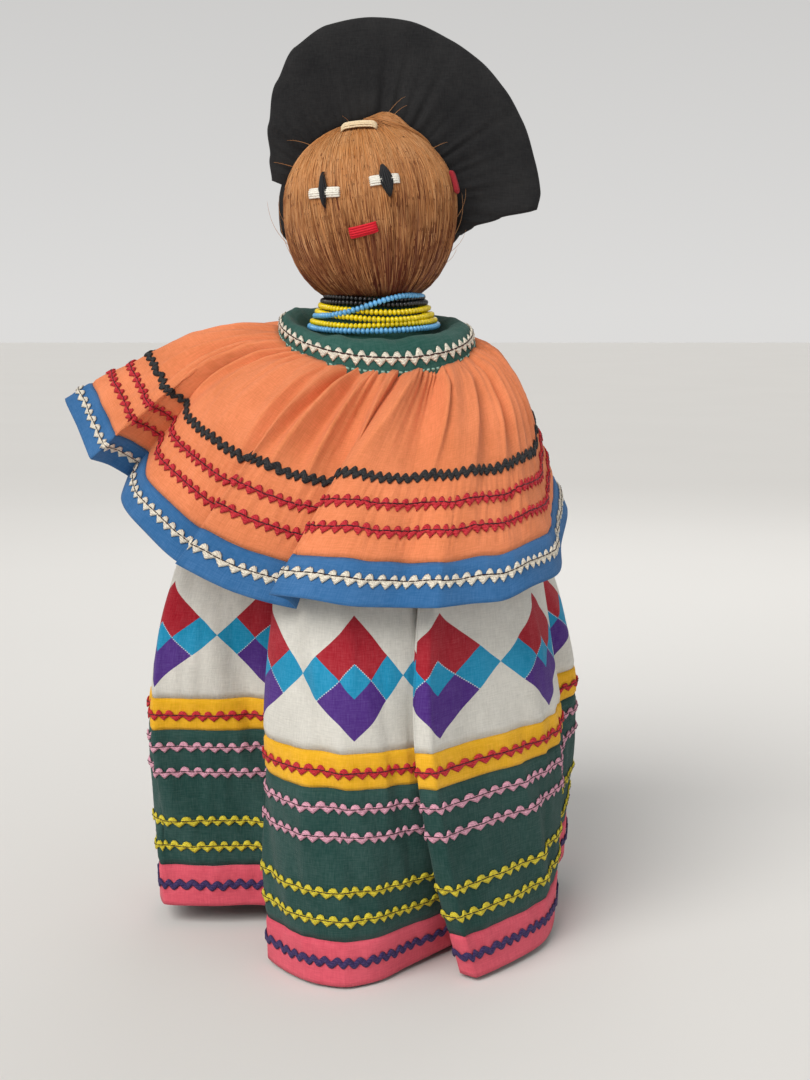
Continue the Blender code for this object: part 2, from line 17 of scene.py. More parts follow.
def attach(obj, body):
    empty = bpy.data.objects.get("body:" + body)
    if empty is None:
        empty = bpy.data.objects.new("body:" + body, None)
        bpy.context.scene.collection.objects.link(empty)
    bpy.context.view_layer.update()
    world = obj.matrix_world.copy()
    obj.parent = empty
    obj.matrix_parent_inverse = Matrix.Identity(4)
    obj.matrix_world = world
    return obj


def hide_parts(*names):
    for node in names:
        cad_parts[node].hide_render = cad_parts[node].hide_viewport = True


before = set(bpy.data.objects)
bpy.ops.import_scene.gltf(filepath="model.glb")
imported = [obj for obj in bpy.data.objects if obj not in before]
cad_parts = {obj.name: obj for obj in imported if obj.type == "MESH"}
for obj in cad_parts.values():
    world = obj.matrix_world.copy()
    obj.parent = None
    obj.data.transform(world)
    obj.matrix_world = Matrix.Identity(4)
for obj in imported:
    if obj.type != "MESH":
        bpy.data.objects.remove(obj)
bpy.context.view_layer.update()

bl_info = {
    "name": "Palmetto Doll",
    "version": (1, 0, 0),
    "blender": (4, 5, 0),
    "location": "3D View > Sidebar > Palmetto Doll",
    "description": "Builds a palmetto fibre doll in a patchwork skirt and a gathered cape",
    "category": "Add Mesh",
}

MM = 0.001

# Head: a ball of fibre, fuller and deeper below its middle, with a tied tuft on its crown.
HEAD_CENTRE = Vector((0.0, 0.0, 0.2745))
HEAD_RADIUS = 0.0325
HEAD_TOP_HEIGHT = 0.0305
HEAD_JAW_DEPTH = 0.0376
HEAD_JAW_FULLNESS = 2.3
NECK_TOP = 0.2376
TUFT_HEIGHT = 0.0045
TUFT_SPREAD = 0.26
TUFT_DIRECTION = Vector((0.20, 0.03, 1.0)).normalized()
TIE_AXIS = Vector((-0.13, 0.08, 1.0)).normalized()
TIE = ((-38, 57), (12, 60.5))
TUFT_STRANDS = 90
HEAD_GRID = (160, 64)
HEAD_RELIEF = 0.00018

# Tubes: sides and steps of a fibre and of a stitch, and a direction that none of them runs in.
FIBRE_SIDES = 3
FIBRE_STEPS = 12
STITCH_SIDES = 6
STITCH_STEPS = 16
TUBE_UPRIGHT = Vector((0.31, 0.17, 0.93))

# Stitches of the face, each from one direction to another: azimuth and latitude in degrees.
EYE_LEFT = ((-42.1, 4.7), (-17.7, 5.4))
EYE_RIGHT = ((0.0, 11.5), (20.9, 14.1))
PUPIL_LEFT = ((-31.5, 19.3), (-28.2, -4.8))
PUPIL_RIGHT = ((8.7, 23.8), (13.6, 1.7))
PUPIL_WIDTH_LEFT = 0.0033
PUPIL_WIDTH_RIGHT = 0.0048
MOUTH = ((-13.1, -19.9), (6.0, -15.4))
EAR_LEFT = ((-97.0, 12.0), (-98.0, -4.0))
EAR_RIGHT = ((78.0, 22.5), (77.0, 7.0))
EAR_WIDTH = 0.0038
EAR_RISE_LEFT = 0.0007
EAR_RISE_RIGHT = 0.0020
EAR_GRID = (16, 14)

# Bars of satin stitch: width, number of threads and rise off the head.
EYE_BAR = (0.0035, 5, 0.0014)
MOUTH_BAR = (0.0037, 5, 0.0017)
TIE_BAR = (0.0040, 7, 0.0026)
PUPIL_THREADS = 6
PUPIL_RISE = 0.0022

# Loose hairs: azimuth and latitude of the root in degrees, length in millimetres, lean up in degrees.
LOOSE_HAIRS = (
    (-86, -37, 27, 77), (-88, -26, 19, 64), (-74, -14, 10, 70), (-80, 26, 8, 12), (-62, 42, 11, 8),
    (86, -20, 17, 80), (88, -30, 11, 55), (80, -38, 8, 50), (92, -8, 12, 72), (70, 40, 7, 20),
    (92, 79, 9, 43), (60, 74, 8, 30), (-40, 70, 6, 30), (150, 20, 9, 20), (-150, -10, 9, 40),
)

# Hair board: a cloth cap behind the head with a wide flat brim. Degrees from +X up to +Z, millimetres.
BOARD_LEAN = 0.12
BOARD_THICKNESS = 0.0042
CAP_THICKNESS = 0.0022
CAP_LIFT = 0.0013
CAP_RIM_BACK = 14.0
CAP_NAPE_BACK = 56.0
CAP_DROP_START = 0.25
BOARD_OUTLINE = (
    (-16, 35.2), (-10, 39.0), (-4, 49.0), (-0.5, 62.5), (5, 64.0), (17, 64.0), (30, 65.3),
    (41, 66.6), (53, 67.9), (65, 68.7), (78, 70.3), (90, 70.2), (104, 69.2), (116, 65.5),
    (127, 58.2), (141, 49.0), (153, 42.0), (165, 38.0),
)
BOARD_GATHER = 0.0013
BOARD_WAVE = 0.0005
BOARD_BULGE = 0.0006
BOARD_RIM_ROUND = 0.0012

# Hair board's grid: its start angle, and the rows where the inner cap, front, rim and back end.
BOARD_START = -16.0
BOARD_COLUMNS = 420
BOARD_ROWS = 40
CAP_ROW = 12
FRONT_ROW = 22
RIM_ROW = 26
BACK_ROW = 30

# Trunk of fibre, radius and height in metres, and the loose fibres at its foot.
BODY_PROFILE = (
    (0.0, 0.0), (0.0335, 0.0), (0.0342, 0.0012), (0.036, 0.06), (0.035, 0.12), (0.037, 0.175),
    (0.0416, 0.200), (0.033, 0.209), (0.024, 0.217), (0.0145, 0.225), (0.0115, 0.2447), (0.0, 0.2447),
)
BODY_STEPS = 96
FOOT_FIBRES = 220
FOOT_RADIUS = 0.0349
FOOT_STEPS = 10

# Collar ring, where the cape is sewn to the yoke.
COLLAR_RADIUS = 0.0362
COLLAR_CENTRE_X = 0.0022
COLLAR_HEIGHT = 0.2255
COLLAR_SLOPE_X = -0.07
COLLAR_SLOPE_FRONT = 0.33
COLLAR_SLOPE_BACK = 0.12

# Lengths of cloth up from each hem.
CAPE_LENGTH = 0.088
CAPE_WHITE_BRAID = 0.008
CAPE_HEM_BAND = 0.014
CAPE_RED_BRAIDS = (0.0235, 0.0325)
CAPE_BLACK_BRAID = 0.0415
CAPE_ARCH = 0.0075
CAPE_SEAM = 0.72
CAPE_GATHER_REACH = 0.16
CAPE_BEND = 0.012
CAPE_SOFT = 0.0011
CAPE_PUCKERS = 0.00032
CAPE_COLUMNS = 900
CAPE_ROWS = 40

SKIRT_LENGTH = 0.210
SKIRT_PURPLE_BRAID = 0.008
SKIRT_HEM_BAND = 0.0155
SKIRT_YELLOW_BRAIDS = (0.0236, 0.0340)
SKIRT_PINK_BRAIDS = (0.0544, 0.0650)
SKIRT_GREEN_BAND = 0.0717
SKIRT_RED_BRAID = 0.0783
SKIRT_YELLOW_BAND = 0.0850
SKIRT_SEAM = 0.62
WAIST_RADIUS = 0.0435
WAIST_HEIGHT = 0.2030
SKIRT_FULLNESS = 0.025
GATHER_START = 0.36
GATHER_POWER = 1.8
RISE_POWER = 0.96
PLEAT_STATION = 8
PLEAT_SWING = 0.019
PLEAT_SWING_REACH_LEFT = 0.035
PLEAT_SWING_REACH_RIGHT = 0.065
PLEAT_SWING_TOP = 0.6
PLEAT_CALM = 0.055
CREASE_STATION = 6
CREASE_EASE = 0.022
CREASE_REACH = 0.06
CREASE_TOP = 0.45
SKIRT_SOFT = 0.0006
SKIRT_SOFT_FINE = 0.0003
SKIRT_DENTS = 0.0020
SKIRT_GATHERS = 0.0018
SKIRT_COLUMNS = 600
BAND_ROWS = 10
GREEN_ROWS = 21
PATCHWORK_ROWS = 42

# Steps along the cloth that its facing and its flatness are measured over.
FACING_STEP = 0.0004
FLATNESS_STEP = 0.0012

# Seams: how far a cut edge is turned in and over what width, and half the gap between two strips.
EDGE_TURN = 0.0006
EDGE_WIDTH = 0.0010
SEAM_GAP = 0.0001

# Threads: spacing of the cotton's weave, fineness of a sewing thread's fuzz, and the darker colour of the
# cloth's uneven dye and of the painted shade in the weave's hollows.
CLOTH_THREAD = 0.00042
THREAD_FUZZ = 5200.0 / 3
DYE_AND_HOLLOW_SHADE = 1 - 0.16 * 1.6
THREAD_LIFT = 0.00018
THREAD_DIP = 0.00022
THREAD_WOBBLE = 0.00008
BRAID_STITCH_LENGTH = 0.0024

# Ric-rac: faces along one wave and round the tape, and the raised middle of the tape.
BRAID_COLUMNS = 14
BRAID_SIDES = 6
BRAID_RIDGE = 0.00020
BRAID_RIDGE_WIDTH = 0.0010
BRAID_WANDER = 0.00025

# Yoke in section: millimetres in from the collar ring and up, with the cloth's length at each.
YOKE_SECTION = ((1.4, -1.2), (-0.8, 5.6), (-3.0, 7.0), (-6.0, 5.6), (-12.3, 0.7), (-20.6, 16.2))
YOKE_ROWS = (0.0, 5.7, 8.1, 11.4, 19.4, 37.0)
YOKE_BRAID = 0.0048
YOKE_BRAID_SCALE = 0.68
YOKE_STITCHES = 0.0022
YOKE_NECK_RADIUS = 0.017
YOKE_GRID = (300, 40)
YOKE_STITCH_LENGTH = 0.0021
YOKE_STITCH_DIP = 0.0009

# Necklaces, from the lowest to the highest.
STRAND_FIRST = 0.0028
STRAND_PITCH = 0.0025
STRAND_ASIDE = 0.0012
STRAND_CLEAR = 0.0021
STRAND_STEPS = 360
BEAD_SEGMENTS = 8
BEAD_RINGS = 6
BEAD_FLATNESS = 0.74

# Patchwork: squares on point, corner to corner round the skirt.
PATCH_PITCH = 0.0439
PATCH_PHASE = 0.045
PATCH_MIDDLE = 0.1116
PATCH_REACH = 0.022
PATCH_LOW = 0.38
PATCH_HIGH = 0.66
PATCH_STITCH_WIDTH = 0.006
PATCH_STITCHES = 34.0
PATCH_STITCH_GAP = 0.45

# Stage: metres, degrees and millimetres of lens. The world's light falls off from the horizon up.
STAGE_TARGET = Vector((0.0, 0.0, 0.16))
FLOOR_REACH = 12.0
FLOOR_DROP = 0.0002
KEY_PLACE = Vector((-0.60, -0.85, 1.10))
KEY_POWER = 2.5
KEY_SPREAD = 40
KEY_COLOUR = (1.0, 0.98, 0.95)
FILL_PLACE = (0.9, -0.7, 0.5)
FILL_COLOUR = (0.95, 0.97, 1.0)
BACK_PLACE = (0.2, 0.9, 0.9)
WORLD_COLOUR = (1.0, 0.99, 0.975, 1.0)
WORLD_LOW = 0.72
WORLD_HIGH = 0.33
CAMERA_PLACE = (0.013, -0.614, 0.235)
CAMERA_TILT = 8.1
CAMERA_LENS = 53.33
CAMERA_SENSOR = 36.0

# Hems as folds: plan x and y and the height z, in millimetres, counter clockwise from above.
SKIRT_HEM = (
    (-37, -55, 1.5), (-29, -68, 1), (-18, -78, 1), (-8, -81, 1), (3, -76, 1),
    (14, -64, 1.5), (33, -45, 3),
    (37, -55, 2), (33, -70, 1.5), (38, -74, 1.5), (51, -62, 2), (65, -43, 2.5),
    (71, -16, 5), (69, 2, 8),
    (78, 20, 14), (78, 40, 17), (65, 50, 14), (54, 63, 10), (38, 76, 6),
    (20, 72, 5), (2, 80, 4), (-17, 72, 4), (-34, 76, 5), (-50, 62, 6),
    (-64, 56, 7), (-67, 38, 8), (-78, 22, 8), (-84, -4, 8),
    (-80, -20, 8), (-62, -22, 8), (-42, -21, 8), (-29, -24, 7), (-26, -35, 6),
    (-31, -46, 3),
)
CAPE_HEM = (
    (-117, 0, 202), (-109, -17, 192), (-102, -31, 182), (-97, -22, 179),
    (-91, -15, 174), (-92, -25, 167), (-80, -43, 156), (-66, -52, 146),
    (-57, -55, 143), (-67, -62, 148), (-48, -65, 139), (-34, -67, 135), (-25, -67, 133),
    (-27, -73, 137), (-33, -78, 140), (-20, -86, 140), (-5, -89, 138), (10, -86, 137),
    (24, -92, 138), (36, -84, 138), (46, -79, 138), (57, -68, 141),
    (67, -50, 142), (72, -14, 148), (77, 20, 159),
    (70, 46, 163), (56, 62, 160), (42, 82, 162), (20, 84, 158), (0, 92, 160),
    (-22, 84, 158), (-44, 84, 162), (-60, 68, 164), (-80, 60, 174),
    (-94, 40, 184), (-110, 24, 196),
)


def linear(red, green, blue):
    """A linear colour from the usual 0 to 255 numbers."""
    made = []
    for part in (red, green, blue):
        share = part / 255
        made.append(share / 12.92 if share <= 0.04045 else ((share + 0.055) / 1.055) ** 2.4)
    return tuple(made)


def colour_setting(name, description, *colour):
    return FloatVectorProperty(name=name, description=description, default=linear(*colour),
                               subtype="COLOR", size=3, min=0.0, max=1.0)


def length_setting(name, description, default):
    return FloatProperty(name=name, description=description, default=default, min=0.0, unit="LENGTH",
                         precision=5)


class DollClothSettings(bpy.types.PropertyGroup):
    """Sizes and colours of the skirt, cape and yoke."""

    thickness: length_setting("Cloth thickness", "Thickness of the cotton cloth", 0.0006)
    gather_depth: length_setting("Gather depth", "Depth of the gathers along the collar seam", 0.0026)
    fold_depth: length_setting("Fold depth", "Depth of the soft folds down the cape", 0.0033)
    orange: colour_setting("Cape", "Orange cotton of the cape", 240, 138, 86)
    blue: colour_setting("Cape hem", "Blue cotton of the cape's hem", 45, 108, 165)
    green: colour_setting("Yoke", "Green cotton of the yoke", 24, 84, 74)
    yellow: colour_setting("Yellow band", "Yellow cotton band of the skirt", 244, 182, 6)
    dark_green: colour_setting("Green band", "Dark green cotton band of the skirt", 18, 68, 62)
    pink: colour_setting("Skirt hem", "Pink cotton of the skirt's hem", 226, 84, 104)
    patch_white: colour_setting("Patch ground", "White cotton of the patchwork", 222, 219, 210)
    patch_red: colour_setting("Patch red", "Red cotton of the patchwork", 170, 8, 34)
    patch_blue: colour_setting("Patch blue", "Turquoise cotton of the patchwork", 0, 146, 190)
    patch_purple: colour_setting("Patch purple", "Purple cotton of the patchwork", 76, 34, 130)
    patch_stitch: colour_setting("Patch stitches", "Pale stitches along the turquoise", 196, 206, 214)


class DollTrimSettings(bpy.types.PropertyGroup):
    """Sizes and colours of the ric-rac braids, beads and threads."""

    braid_pitch: length_setting("Ric-rac pitch", "Length of one wave of the ric-rac", 0.0043)
    bump_height: length_setting("Bump height", "Height of a folded ric-rac's bumps over its stitches",
                                0.00165)
    tooth_depth: length_setting("Tooth depth", "Depth of a folded ric-rac's teeth under its stitches", 0.0019)
    braid_core: length_setting("Ric-rac core", "Width of a folded ric-rac between its teeth", 0.0006)
    braid_swing: length_setting("Ric-rac swing", "How far a plain ric-rac swings up and down", 0.0009)
    braid_half_width: length_setting("Ric-rac half width", "Half the width of a plain ric-rac", 0.0012)
    braid_thickness: length_setting("Ric-rac thickness", "Thickness of the ric-rac tape", 0.0006)
    thread_radius: length_setting("Thread radius", "Radius of the sewing thread", 0.00018)
    bead_radius: length_setting("Bead radius", "Outer radius of one seed bead", 0.00118)
    bead_pitch: length_setting("Bead pitch", "Distance from bead to bead on a strand", 0.00169)
    white: colour_setting("White braid", "White ric-rac", 240, 232, 212)
    black: colour_setting("Black braid", "Black ric-rac", 26, 27, 30)
    red: colour_setting("Red braid", "Red ric-rac", 206, 26, 44)
    pink: colour_setting("Pink braid", "Pink ric-rac", 232, 168, 188)
    yellow: colour_setting("Yellow braid", "Yellow ric-rac", 226, 208, 45)
    purple: colour_setting("Purple braid", "Purple ric-rac", 52, 32, 94)
    bead_yellow: colour_setting("Yellow beads", "Yellow glass beads", 242, 214, 0)
    bead_blue: colour_setting("Blue beads", "Blue glass beads", 104, 178, 230)
    bead_black: colour_setting("Black beads", "Black glass beads", 14, 12, 13)


class DollFibreSettings(bpy.types.PropertyGroup):
    """Sizes and colours of the fibre head and body, the hair board and the face."""

    strands: IntProperty(name="Head strands", description="Fibre strands laid over the head", default=1500,
                         min=10, max=3000)
    strand_radius: length_setting("Strand radius", "Radius of one palmetto fibre", 0.00017)
    fibre: colour_setting("Fibre", "Golden brown palmetto fibre", 188, 122, 62)
    fibre_dark: colour_setting("Dark fibre", "Dark red brown streaks in the fibre", 92, 36, 14)
    board: colour_setting("Hair board", "Black cotton of the hair board", 22, 22, 24)
    stitch_white: colour_setting("Eye white", "White thread of the eyes", 240, 236, 224)
    stitch_red: colour_setting("Mouth", "Red thread of the mouth", 215, 22, 44)
    ear: colour_setting("Ears", "Red felt of the ears", 184, 20, 40)
    tie: colour_setting("Tie", "Cream thread that ties the tuft", 233, 211, 174)


def wave(share, count, seed):
    """A smooth uneven wave round a ring, with about half of count humps, from about -1 to 1."""
    turn = 2 * math.pi * share
    reach = count / (2 * math.pi)
    return 1.7 * noise.noise(Vector((reach * math.cos(turn), reach * math.sin(turn), seed)))


def smooth_step(low, high, value):
    """0 below low, 1 above high and a smooth rise between."""
    share = min(1.0, max(0.0, (value - low) / (high - low)))
    return share * share * (3 - 2 * share)


class Hem:
    """A closed hem line: a smooth curve through its fold points, read by share of its length."""

    def __init__(self, points, softness):
        self.softness = softness
        self.points = [Vector(point) * MM for point in points]
        count = len(self.points)
        self.runs = [(self.points[(i + 1) % count] - self.points[i]).length for i in range(count)]
        self.girth = sum(self.runs)
        self.starts = [sum(self.runs[:i]) for i in range(count)]
        self.slopes = [self.slope(i) for i in range(count)]

    def slope(self, i):
        before_run = self.runs[i - 1]
        after_run = self.runs[i]
        before = (self.points[i] - self.points[i - 1]) / before_run
        after = (self.points[(i + 1) % len(self.points)] - self.points[i]) / after_run
        sharp = 1 - self.softness * (1 - max(0.0, before.dot(after)))
        return (before * after_run + after * before_run) / (before_run + after_run) * sharp

    def at(self, share):
        length = (share % 1.0) * self.girth
        i = bisect.bisect_right(self.starts, length) - 1
        j = (i + 1) % len(self.points)
        run = self.runs[i]
        t = (length - self.starts[i]) / run
        start_weight = 2 * t ** 3 - 3 * t ** 2 + 1
        return (self.points[i] * start_weight + self.points[j] * (1 - start_weight)
                + self.slopes[i] * (run * (t ** 3 - 2 * t ** 2 + t))
                + self.slopes[j] * (run * (t ** 3 - t ** 2)))

    def outward(self, share):
        step = 0.0008 / self.girth
        side = self.at(share + step) - self.at(share - step)
        return Vector((side.y, -side.x, 0.0)).normalized()


SKIRT_LINE = Hem(SKIRT_HEM, 0.9)
CAPE_LINE = Hem(CAPE_HEM, 0.9)
SKIRT_START = math.atan2(SKIRT_HEM[0][1], SKIRT_HEM[0][0])
PLEAT_SHARE = SKIRT_LINE.starts[PLEAT_STATION] / SKIRT_LINE.girth
CREASE_SHARE = SKIRT_LINE.starts[CREASE_STATION] / SKIRT_LINE.girth


def eased(up, top):
    """A move that starts at the hem and is whole at the height top."""
    return 1 - (1 - min(1.0, up / top)) ** 2


def pleat_move(share, up):
    """How far left the leaning pleat, and how far forward the crease behind it, has moved."""
    past_pleat = share % 1.0 - PLEAT_SHARE
    past_crease = share % 1.0 - CREASE_SHARE
    reach = PLEAT_SWING_REACH_LEFT if past_pleat < 0 else PLEAT_SWING_REACH_RIGHT
    left = PLEAT_SWING * math.exp(-((past_pleat / reach) ** 2)) * eased(up, PLEAT_SWING_TOP)
    forward = CREASE_EASE * math.exp(-((past_crease / CREASE_REACH) ** 2)) * eased(up, CREASE_TOP)
    return Vector((-left, -forward, 0.0))


def skirt_surface(share, length):
    """A point of the skirt: up from the hem, then gathered in to the waist."""
    up = min(1.0, max(0.0, length / SKIRT_LENGTH))
    hem = SKIRT_LINE.at(share)
    angle = SKIRT_START + 2 * math.pi * share
    radial = Vector((math.cos(angle), math.sin(angle), 0.0))
    waist = radial * WAIST_RADIUS + Vector((0.0, 0.0, WAIST_HEIGHT))
    gather = max(0.0, (up - GATHER_START) / (1 - GATHER_START)) ** GATHER_POWER
    spot = hem.lerp(waist, gather)
    full = 1 + SKIRT_FULLNESS * math.sin(math.pi * min(1.0, up / 0.75))
    rise = hem.z + (WAIST_HEIGHT - hem.z) * up ** RISE_POWER
    base = Vector((spot.x * full, spot.y * full, rise)) + pleat_move(share, up) * (1 - gather)
    push = SKIRT_LINE.outward(share).lerp(radial, min(1.0, gather * 2))
    soft = (SKIRT_SOFT * wave(share, 46, 3.1 + 1.6 * up)
            + SKIRT_SOFT_FINE * wave(share, 150, 8.2 + 7 * up))
    calm = 1 - math.exp(-(((share % 1.0 - PLEAT_SHARE) / PLEAT_CALM) ** 2))
    dents = SKIRT_DENTS * wave(share + 0.10 * up, 52, 7.4 + 2.4 * up)
    dents *= smooth_step(0.02, 0.16, up)
    dents *= calm
    gathers = SKIRT_GATHERS * (wave(share, 84, 5.5 + 0.6 * up) - 0.6) * smooth_step(0.52, 0.90, up)
    return base + push * ((soft * smooth_step(0.0, 0.05, up) + dents) * (1 - gather) + gathers)


def collar_point(angle, radius=COLLAR_RADIUS):
    """A point of the tilted collar ring."""
    x = radius * math.cos(angle)
    y = radius * math.sin(angle)
    slope = COLLAR_SLOPE_FRONT if y < 0 else COLLAR_SLOPE_BACK
    return Vector((COLLAR_CENTRE_X + x, y, COLLAR_HEIGHT + COLLAR_SLOPE_X * x + slope * y))


def cape_surface(share, length):
    """A point of the cape: an arched line from the hem to the collar ring, with gathers below the seam."""
    settings = bpy.context.scene.doll_cloth
    up = min(1.0, max(0.0, length / CAPE_LENGTH))
    angle = math.pi + 2 * math.pi * share
    hem = CAPE_LINE.at(share)
    top = collar_point(angle, COLLAR_RADIUS - 0.0004)
    away = Vector((math.cos(angle), math.sin(angle), 0.8)).normalized()
    arch = 4 * up * (1 - up) * (0.6 + 0.8 * up)
    base = hem.lerp(top, up) + away * CAPE_ARCH * arch
    near_seam = math.exp(-(1 - up) / CAPE_GATHER_REACH) * (1 - 0.75 * smooth_step(0.955, 1.0, up))
    gathers = settings.gather_depth * (1 - 2 * abs(wave(share, 92, 2.4))) * near_seam
    bend = CAPE_BEND * wave(share, 9, 6.6)
    ridge = 1.35 - 2 * abs(wave(share + bend * up, 40, 7.7 + 0.5 * up))
    folded = smooth_step(0.30, 0.72, up) * (1 - 0.65 * smooth_step(0.86, 1.0, up))
    folds = settings.fold_depth * ridge * folded
    soft = CAPE_SOFT * wave(share + 0.05 * up, 60, 4.0 + 2.2 * up) * (1 - up)
    between_rows = smooth_step(0.16, 0.24, up) * (1 - smooth_step(0.42, 0.5, up))
    puckers = CAPE_PUCKERS * wave(share, 330, 1.0 + 8 * up) * between_rows
    return base + away * (gathers + folds + puckers + soft * smooth_step(0.0, 0.12, up))


def neck_point(angle, radius, height):
    """A point round the neck whose ring is tilted as the collar is, but less and less."""
    level = max(0.0, (radius - YOKE_NECK_RADIUS) / (COLLAR_RADIUS - YOKE_NECK_RADIUS)) ** 2
    tilt = (collar_point(angle).z - COLLAR_HEIGHT) * level
    x = COLLAR_CENTRE_X * level + radius * math.cos(angle)
    return Vector((x, radius * math.sin(angle), height + tilt))


def section_at(reach):
    """The yoke's smooth section: how far in and how far up after a length of cloth, in millimetres."""
    k = 0
    while k < len(YOKE_ROWS) - 2 and YOKE_ROWS[k + 1] < reach:
        k += 1
    t = (reach - YOKE_ROWS[k]) / (YOKE_ROWS[k + 1] - YOKE_ROWS[k])
    points = [Vector(YOKE_SECTION[min(max(n, 0), len(YOKE_SECTION) - 1)]) for n in range(k - 1, k + 3)]
    return (points[1] * 2 + (points[2] - points[0]) * t
            + (points[0] * 2 - points[1] * 5 + points[2] * 4 - points[3]) * t ** 2
            + (points[1] * 3 - points[0] - points[2] * 3 + points[3]) * t ** 3) / 2


def yoke_surface(share, length):
    """A point of the yoke, up its band, over the soft roll and up the neck."""
    reach = min(YOKE_ROWS[-1], max(0.0, length / MM))
    inward, rise = section_at(reach)
    angle = math.pi + 2 * math.pi * share
    roll = smooth_step(5.0, 8.0, reach) * (1 - smooth_step(11.0, 15.0, reach))
    rise += roll * (0.9 * wave(share, 17, 1.3) + 0.4 * wave(share, 40, 9.3))
    inward += roll * 0.5 * wave(share, 23, 5.1)
    return neck_point(angle, COLLAR_RADIUS + inward * MM, COLLAR_HEIGHT + rise * MM)


class Garment:
    """A ring of cloth that pieces are cut from and braids are sewn to."""

    def __init__(self, surface, girth, seam):
        self.surface = surface
        self.girth = girth
        self.seam = seam

    def facing(self, share, length):
        """The way the cloth's outside faces."""
        step = FACING_STEP
        reach = step / self.girth
        side = self.surface(share + reach, length) - self.surface(share - reach, length)
        rise = self.surface(share, length + step) - self.surface(share, length - step)
        return side.cross(rise).normalized()

    def flatness(self, share, length):
        """1 where the cloth is flat, down to 0 where it folds sharply."""
        reach = FLATNESS_STEP / self.girth
        return max(0.0, self.facing(share - reach, length).dot(self.facing(share + reach, length)))

    def lifted(self, share, length, lift):
        """A point raised off the middle of the cloth."""
        return self.surface(share, length) + self.facing(share, length) * lift


SKIRT = Garment(skirt_surface, SKIRT_LINE.girth, SKIRT_SEAM)
CAPE = Garment(cape_surface, CAPE_LINE.girth, CAPE_SEAM)
YOKE = Garment(yoke_surface, 2 * math.pi * COLLAR_RADIUS, CAPE_SEAM)


def mapped_grid(bm, across, along, place, coordinates=None, material=0):
    """Add a grid of faces and move each corner to place(x, y), where x and y run from 0 to 1."""
    corners = bmesh.ops.create_grid(bm, x_segments=across, y_segments=along, size=0.5)["verts"]
    spots = {corner: (corner.co.x + 0.5, corner.co.y + 0.5) for corner in corners}
    faces = {face for corner in corners for face in corner.link_faces}
    layer = bm.loops.layers.uv.verify()
    for face in faces:
        face.material_index = material
        for loop in face.loops:
            spot = spots[loop.vert]
            loop[layer].uv = coordinates(*spot) if coordinates else spot
    for corner, spot in spots.items():
        corner.co = place(*spot)


def close_seams(bm):
    """Join the edges of a grid that meet."""
    bmesh.ops.remove_doubles(bm, verts=bm.verts, dist=1e-6)


def add_piece(name, bm, materials, slot, nodes, thickness=0.0):
    """Make a finished piece of the doll from a bmesh."""
    mesh = bpy.data.meshes.new(name)
    bm.to_mesh(mesh)
    bm.free()
    mesh.shade_smooth()
    for material in materials:
        mesh.materials.append(material)
    thing = bpy.data.objects.new(name, mesh)
    bpy.context.collection.objects.link(thing)
    if thickness:
        shell = thing.modifiers.new("Thickness", "SOLIDIFY")
        shell.thickness = thickness
        shell.offset = 0.0
    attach(thing, "root")
    if nodes:
        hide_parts(*nodes)
    return thing


def cloth_piece(name, garment, span, grid, material, slot, node, turned=(True, True)):
    """A ring of cloth between two lengths up from the hem, its seam edges turned in."""
    start, end = span
    columns, rows = grid
    thickness = bpy.context.scene.doll_cloth.thickness
    bm = bmesh.new()

    def place(x, y):
        length = start + (end - start) * y
        lift = 0.0
        if turned[0]:
            lift -= EDGE_TURN * (1 - smooth_step(0.0, EDGE_WIDTH, length - start))
        if turned[1]:
            lift -= EDGE_TURN * (1 - smooth_step(0.0, EDGE_WIDTH, end - length))
        share = garment.seam + x
        if not lift:
            return garment.surface(share, length)
        return garment.lifted(share, length, lift * garment.flatness(share, length))

    def coordinates(x, y):
        return ((garment.seam - 1 + x) * garment.girth, start + (end - start) * y)

    mapped_grid(bm, columns, rows, place, coordinates)
    close_seams(bm)
    thing = add_piece(name, bm, [material], slot, [node], thickness)
    return thing


def thread_line(bm, garment, row, lift, radius, material, stitch, dip):
    """A sewn thread round a garment: long stitches that dip into the cloth between them."""
    count = round(garment.girth / stitch)

    def place(x, y):
        share = garment.seam + x
        phase = (x * count) % 1.0
        sink = dip * max(0.0, 1 - math.sin(math.pi * phase) * 3.0)
        turn = -2 * math.pi * y
        wobble = THREAD_WOBBLE * wave(share, 160, row * 900)
        return garment.lifted(share, row + wobble + radius * math.sin(turn),
                              lift - sink + radius * math.cos(turn))

    mapped_grid(bm, count * 4, 4, place, material=material)


def bump_edges(trim, x):
    """Folded ric-rac: round bumps above the stitches and pointed teeth below, half a wave apart."""
    bump = (x + 0.5) % 1.0 - 0.5
    tooth = x % 1.0 - 0.5
    dome = math.sqrt(max(0.0, 1 - (bump / 0.34) ** 2))
    point = max(0.0, 1 - abs(tooth) / 0.47) ** 0.9
    top = trim.braid_core * 0.4 + trim.bump_height * dome
    bottom = -trim.braid_core * 1.2 - trim.tooth_depth * point
    return top, bottom


def wavy_edges(trim, x):
    """Plain ric-rac: a tape that swings up and down, with round crests and narrow hollows."""
    crest = 2 * math.sqrt(math.cos(math.pi * (x - 0.25)) ** 2 + 0.01) - 1
    trough = 2 * math.sqrt(math.sin(math.pi * (x - 0.25)) ** 2 + 0.01) - 1
    top = trim.braid_half_width + trim.braid_swing * crest
    bottom = -trim.braid_half_width - trim.braid_swing * trough
    return top, bottom


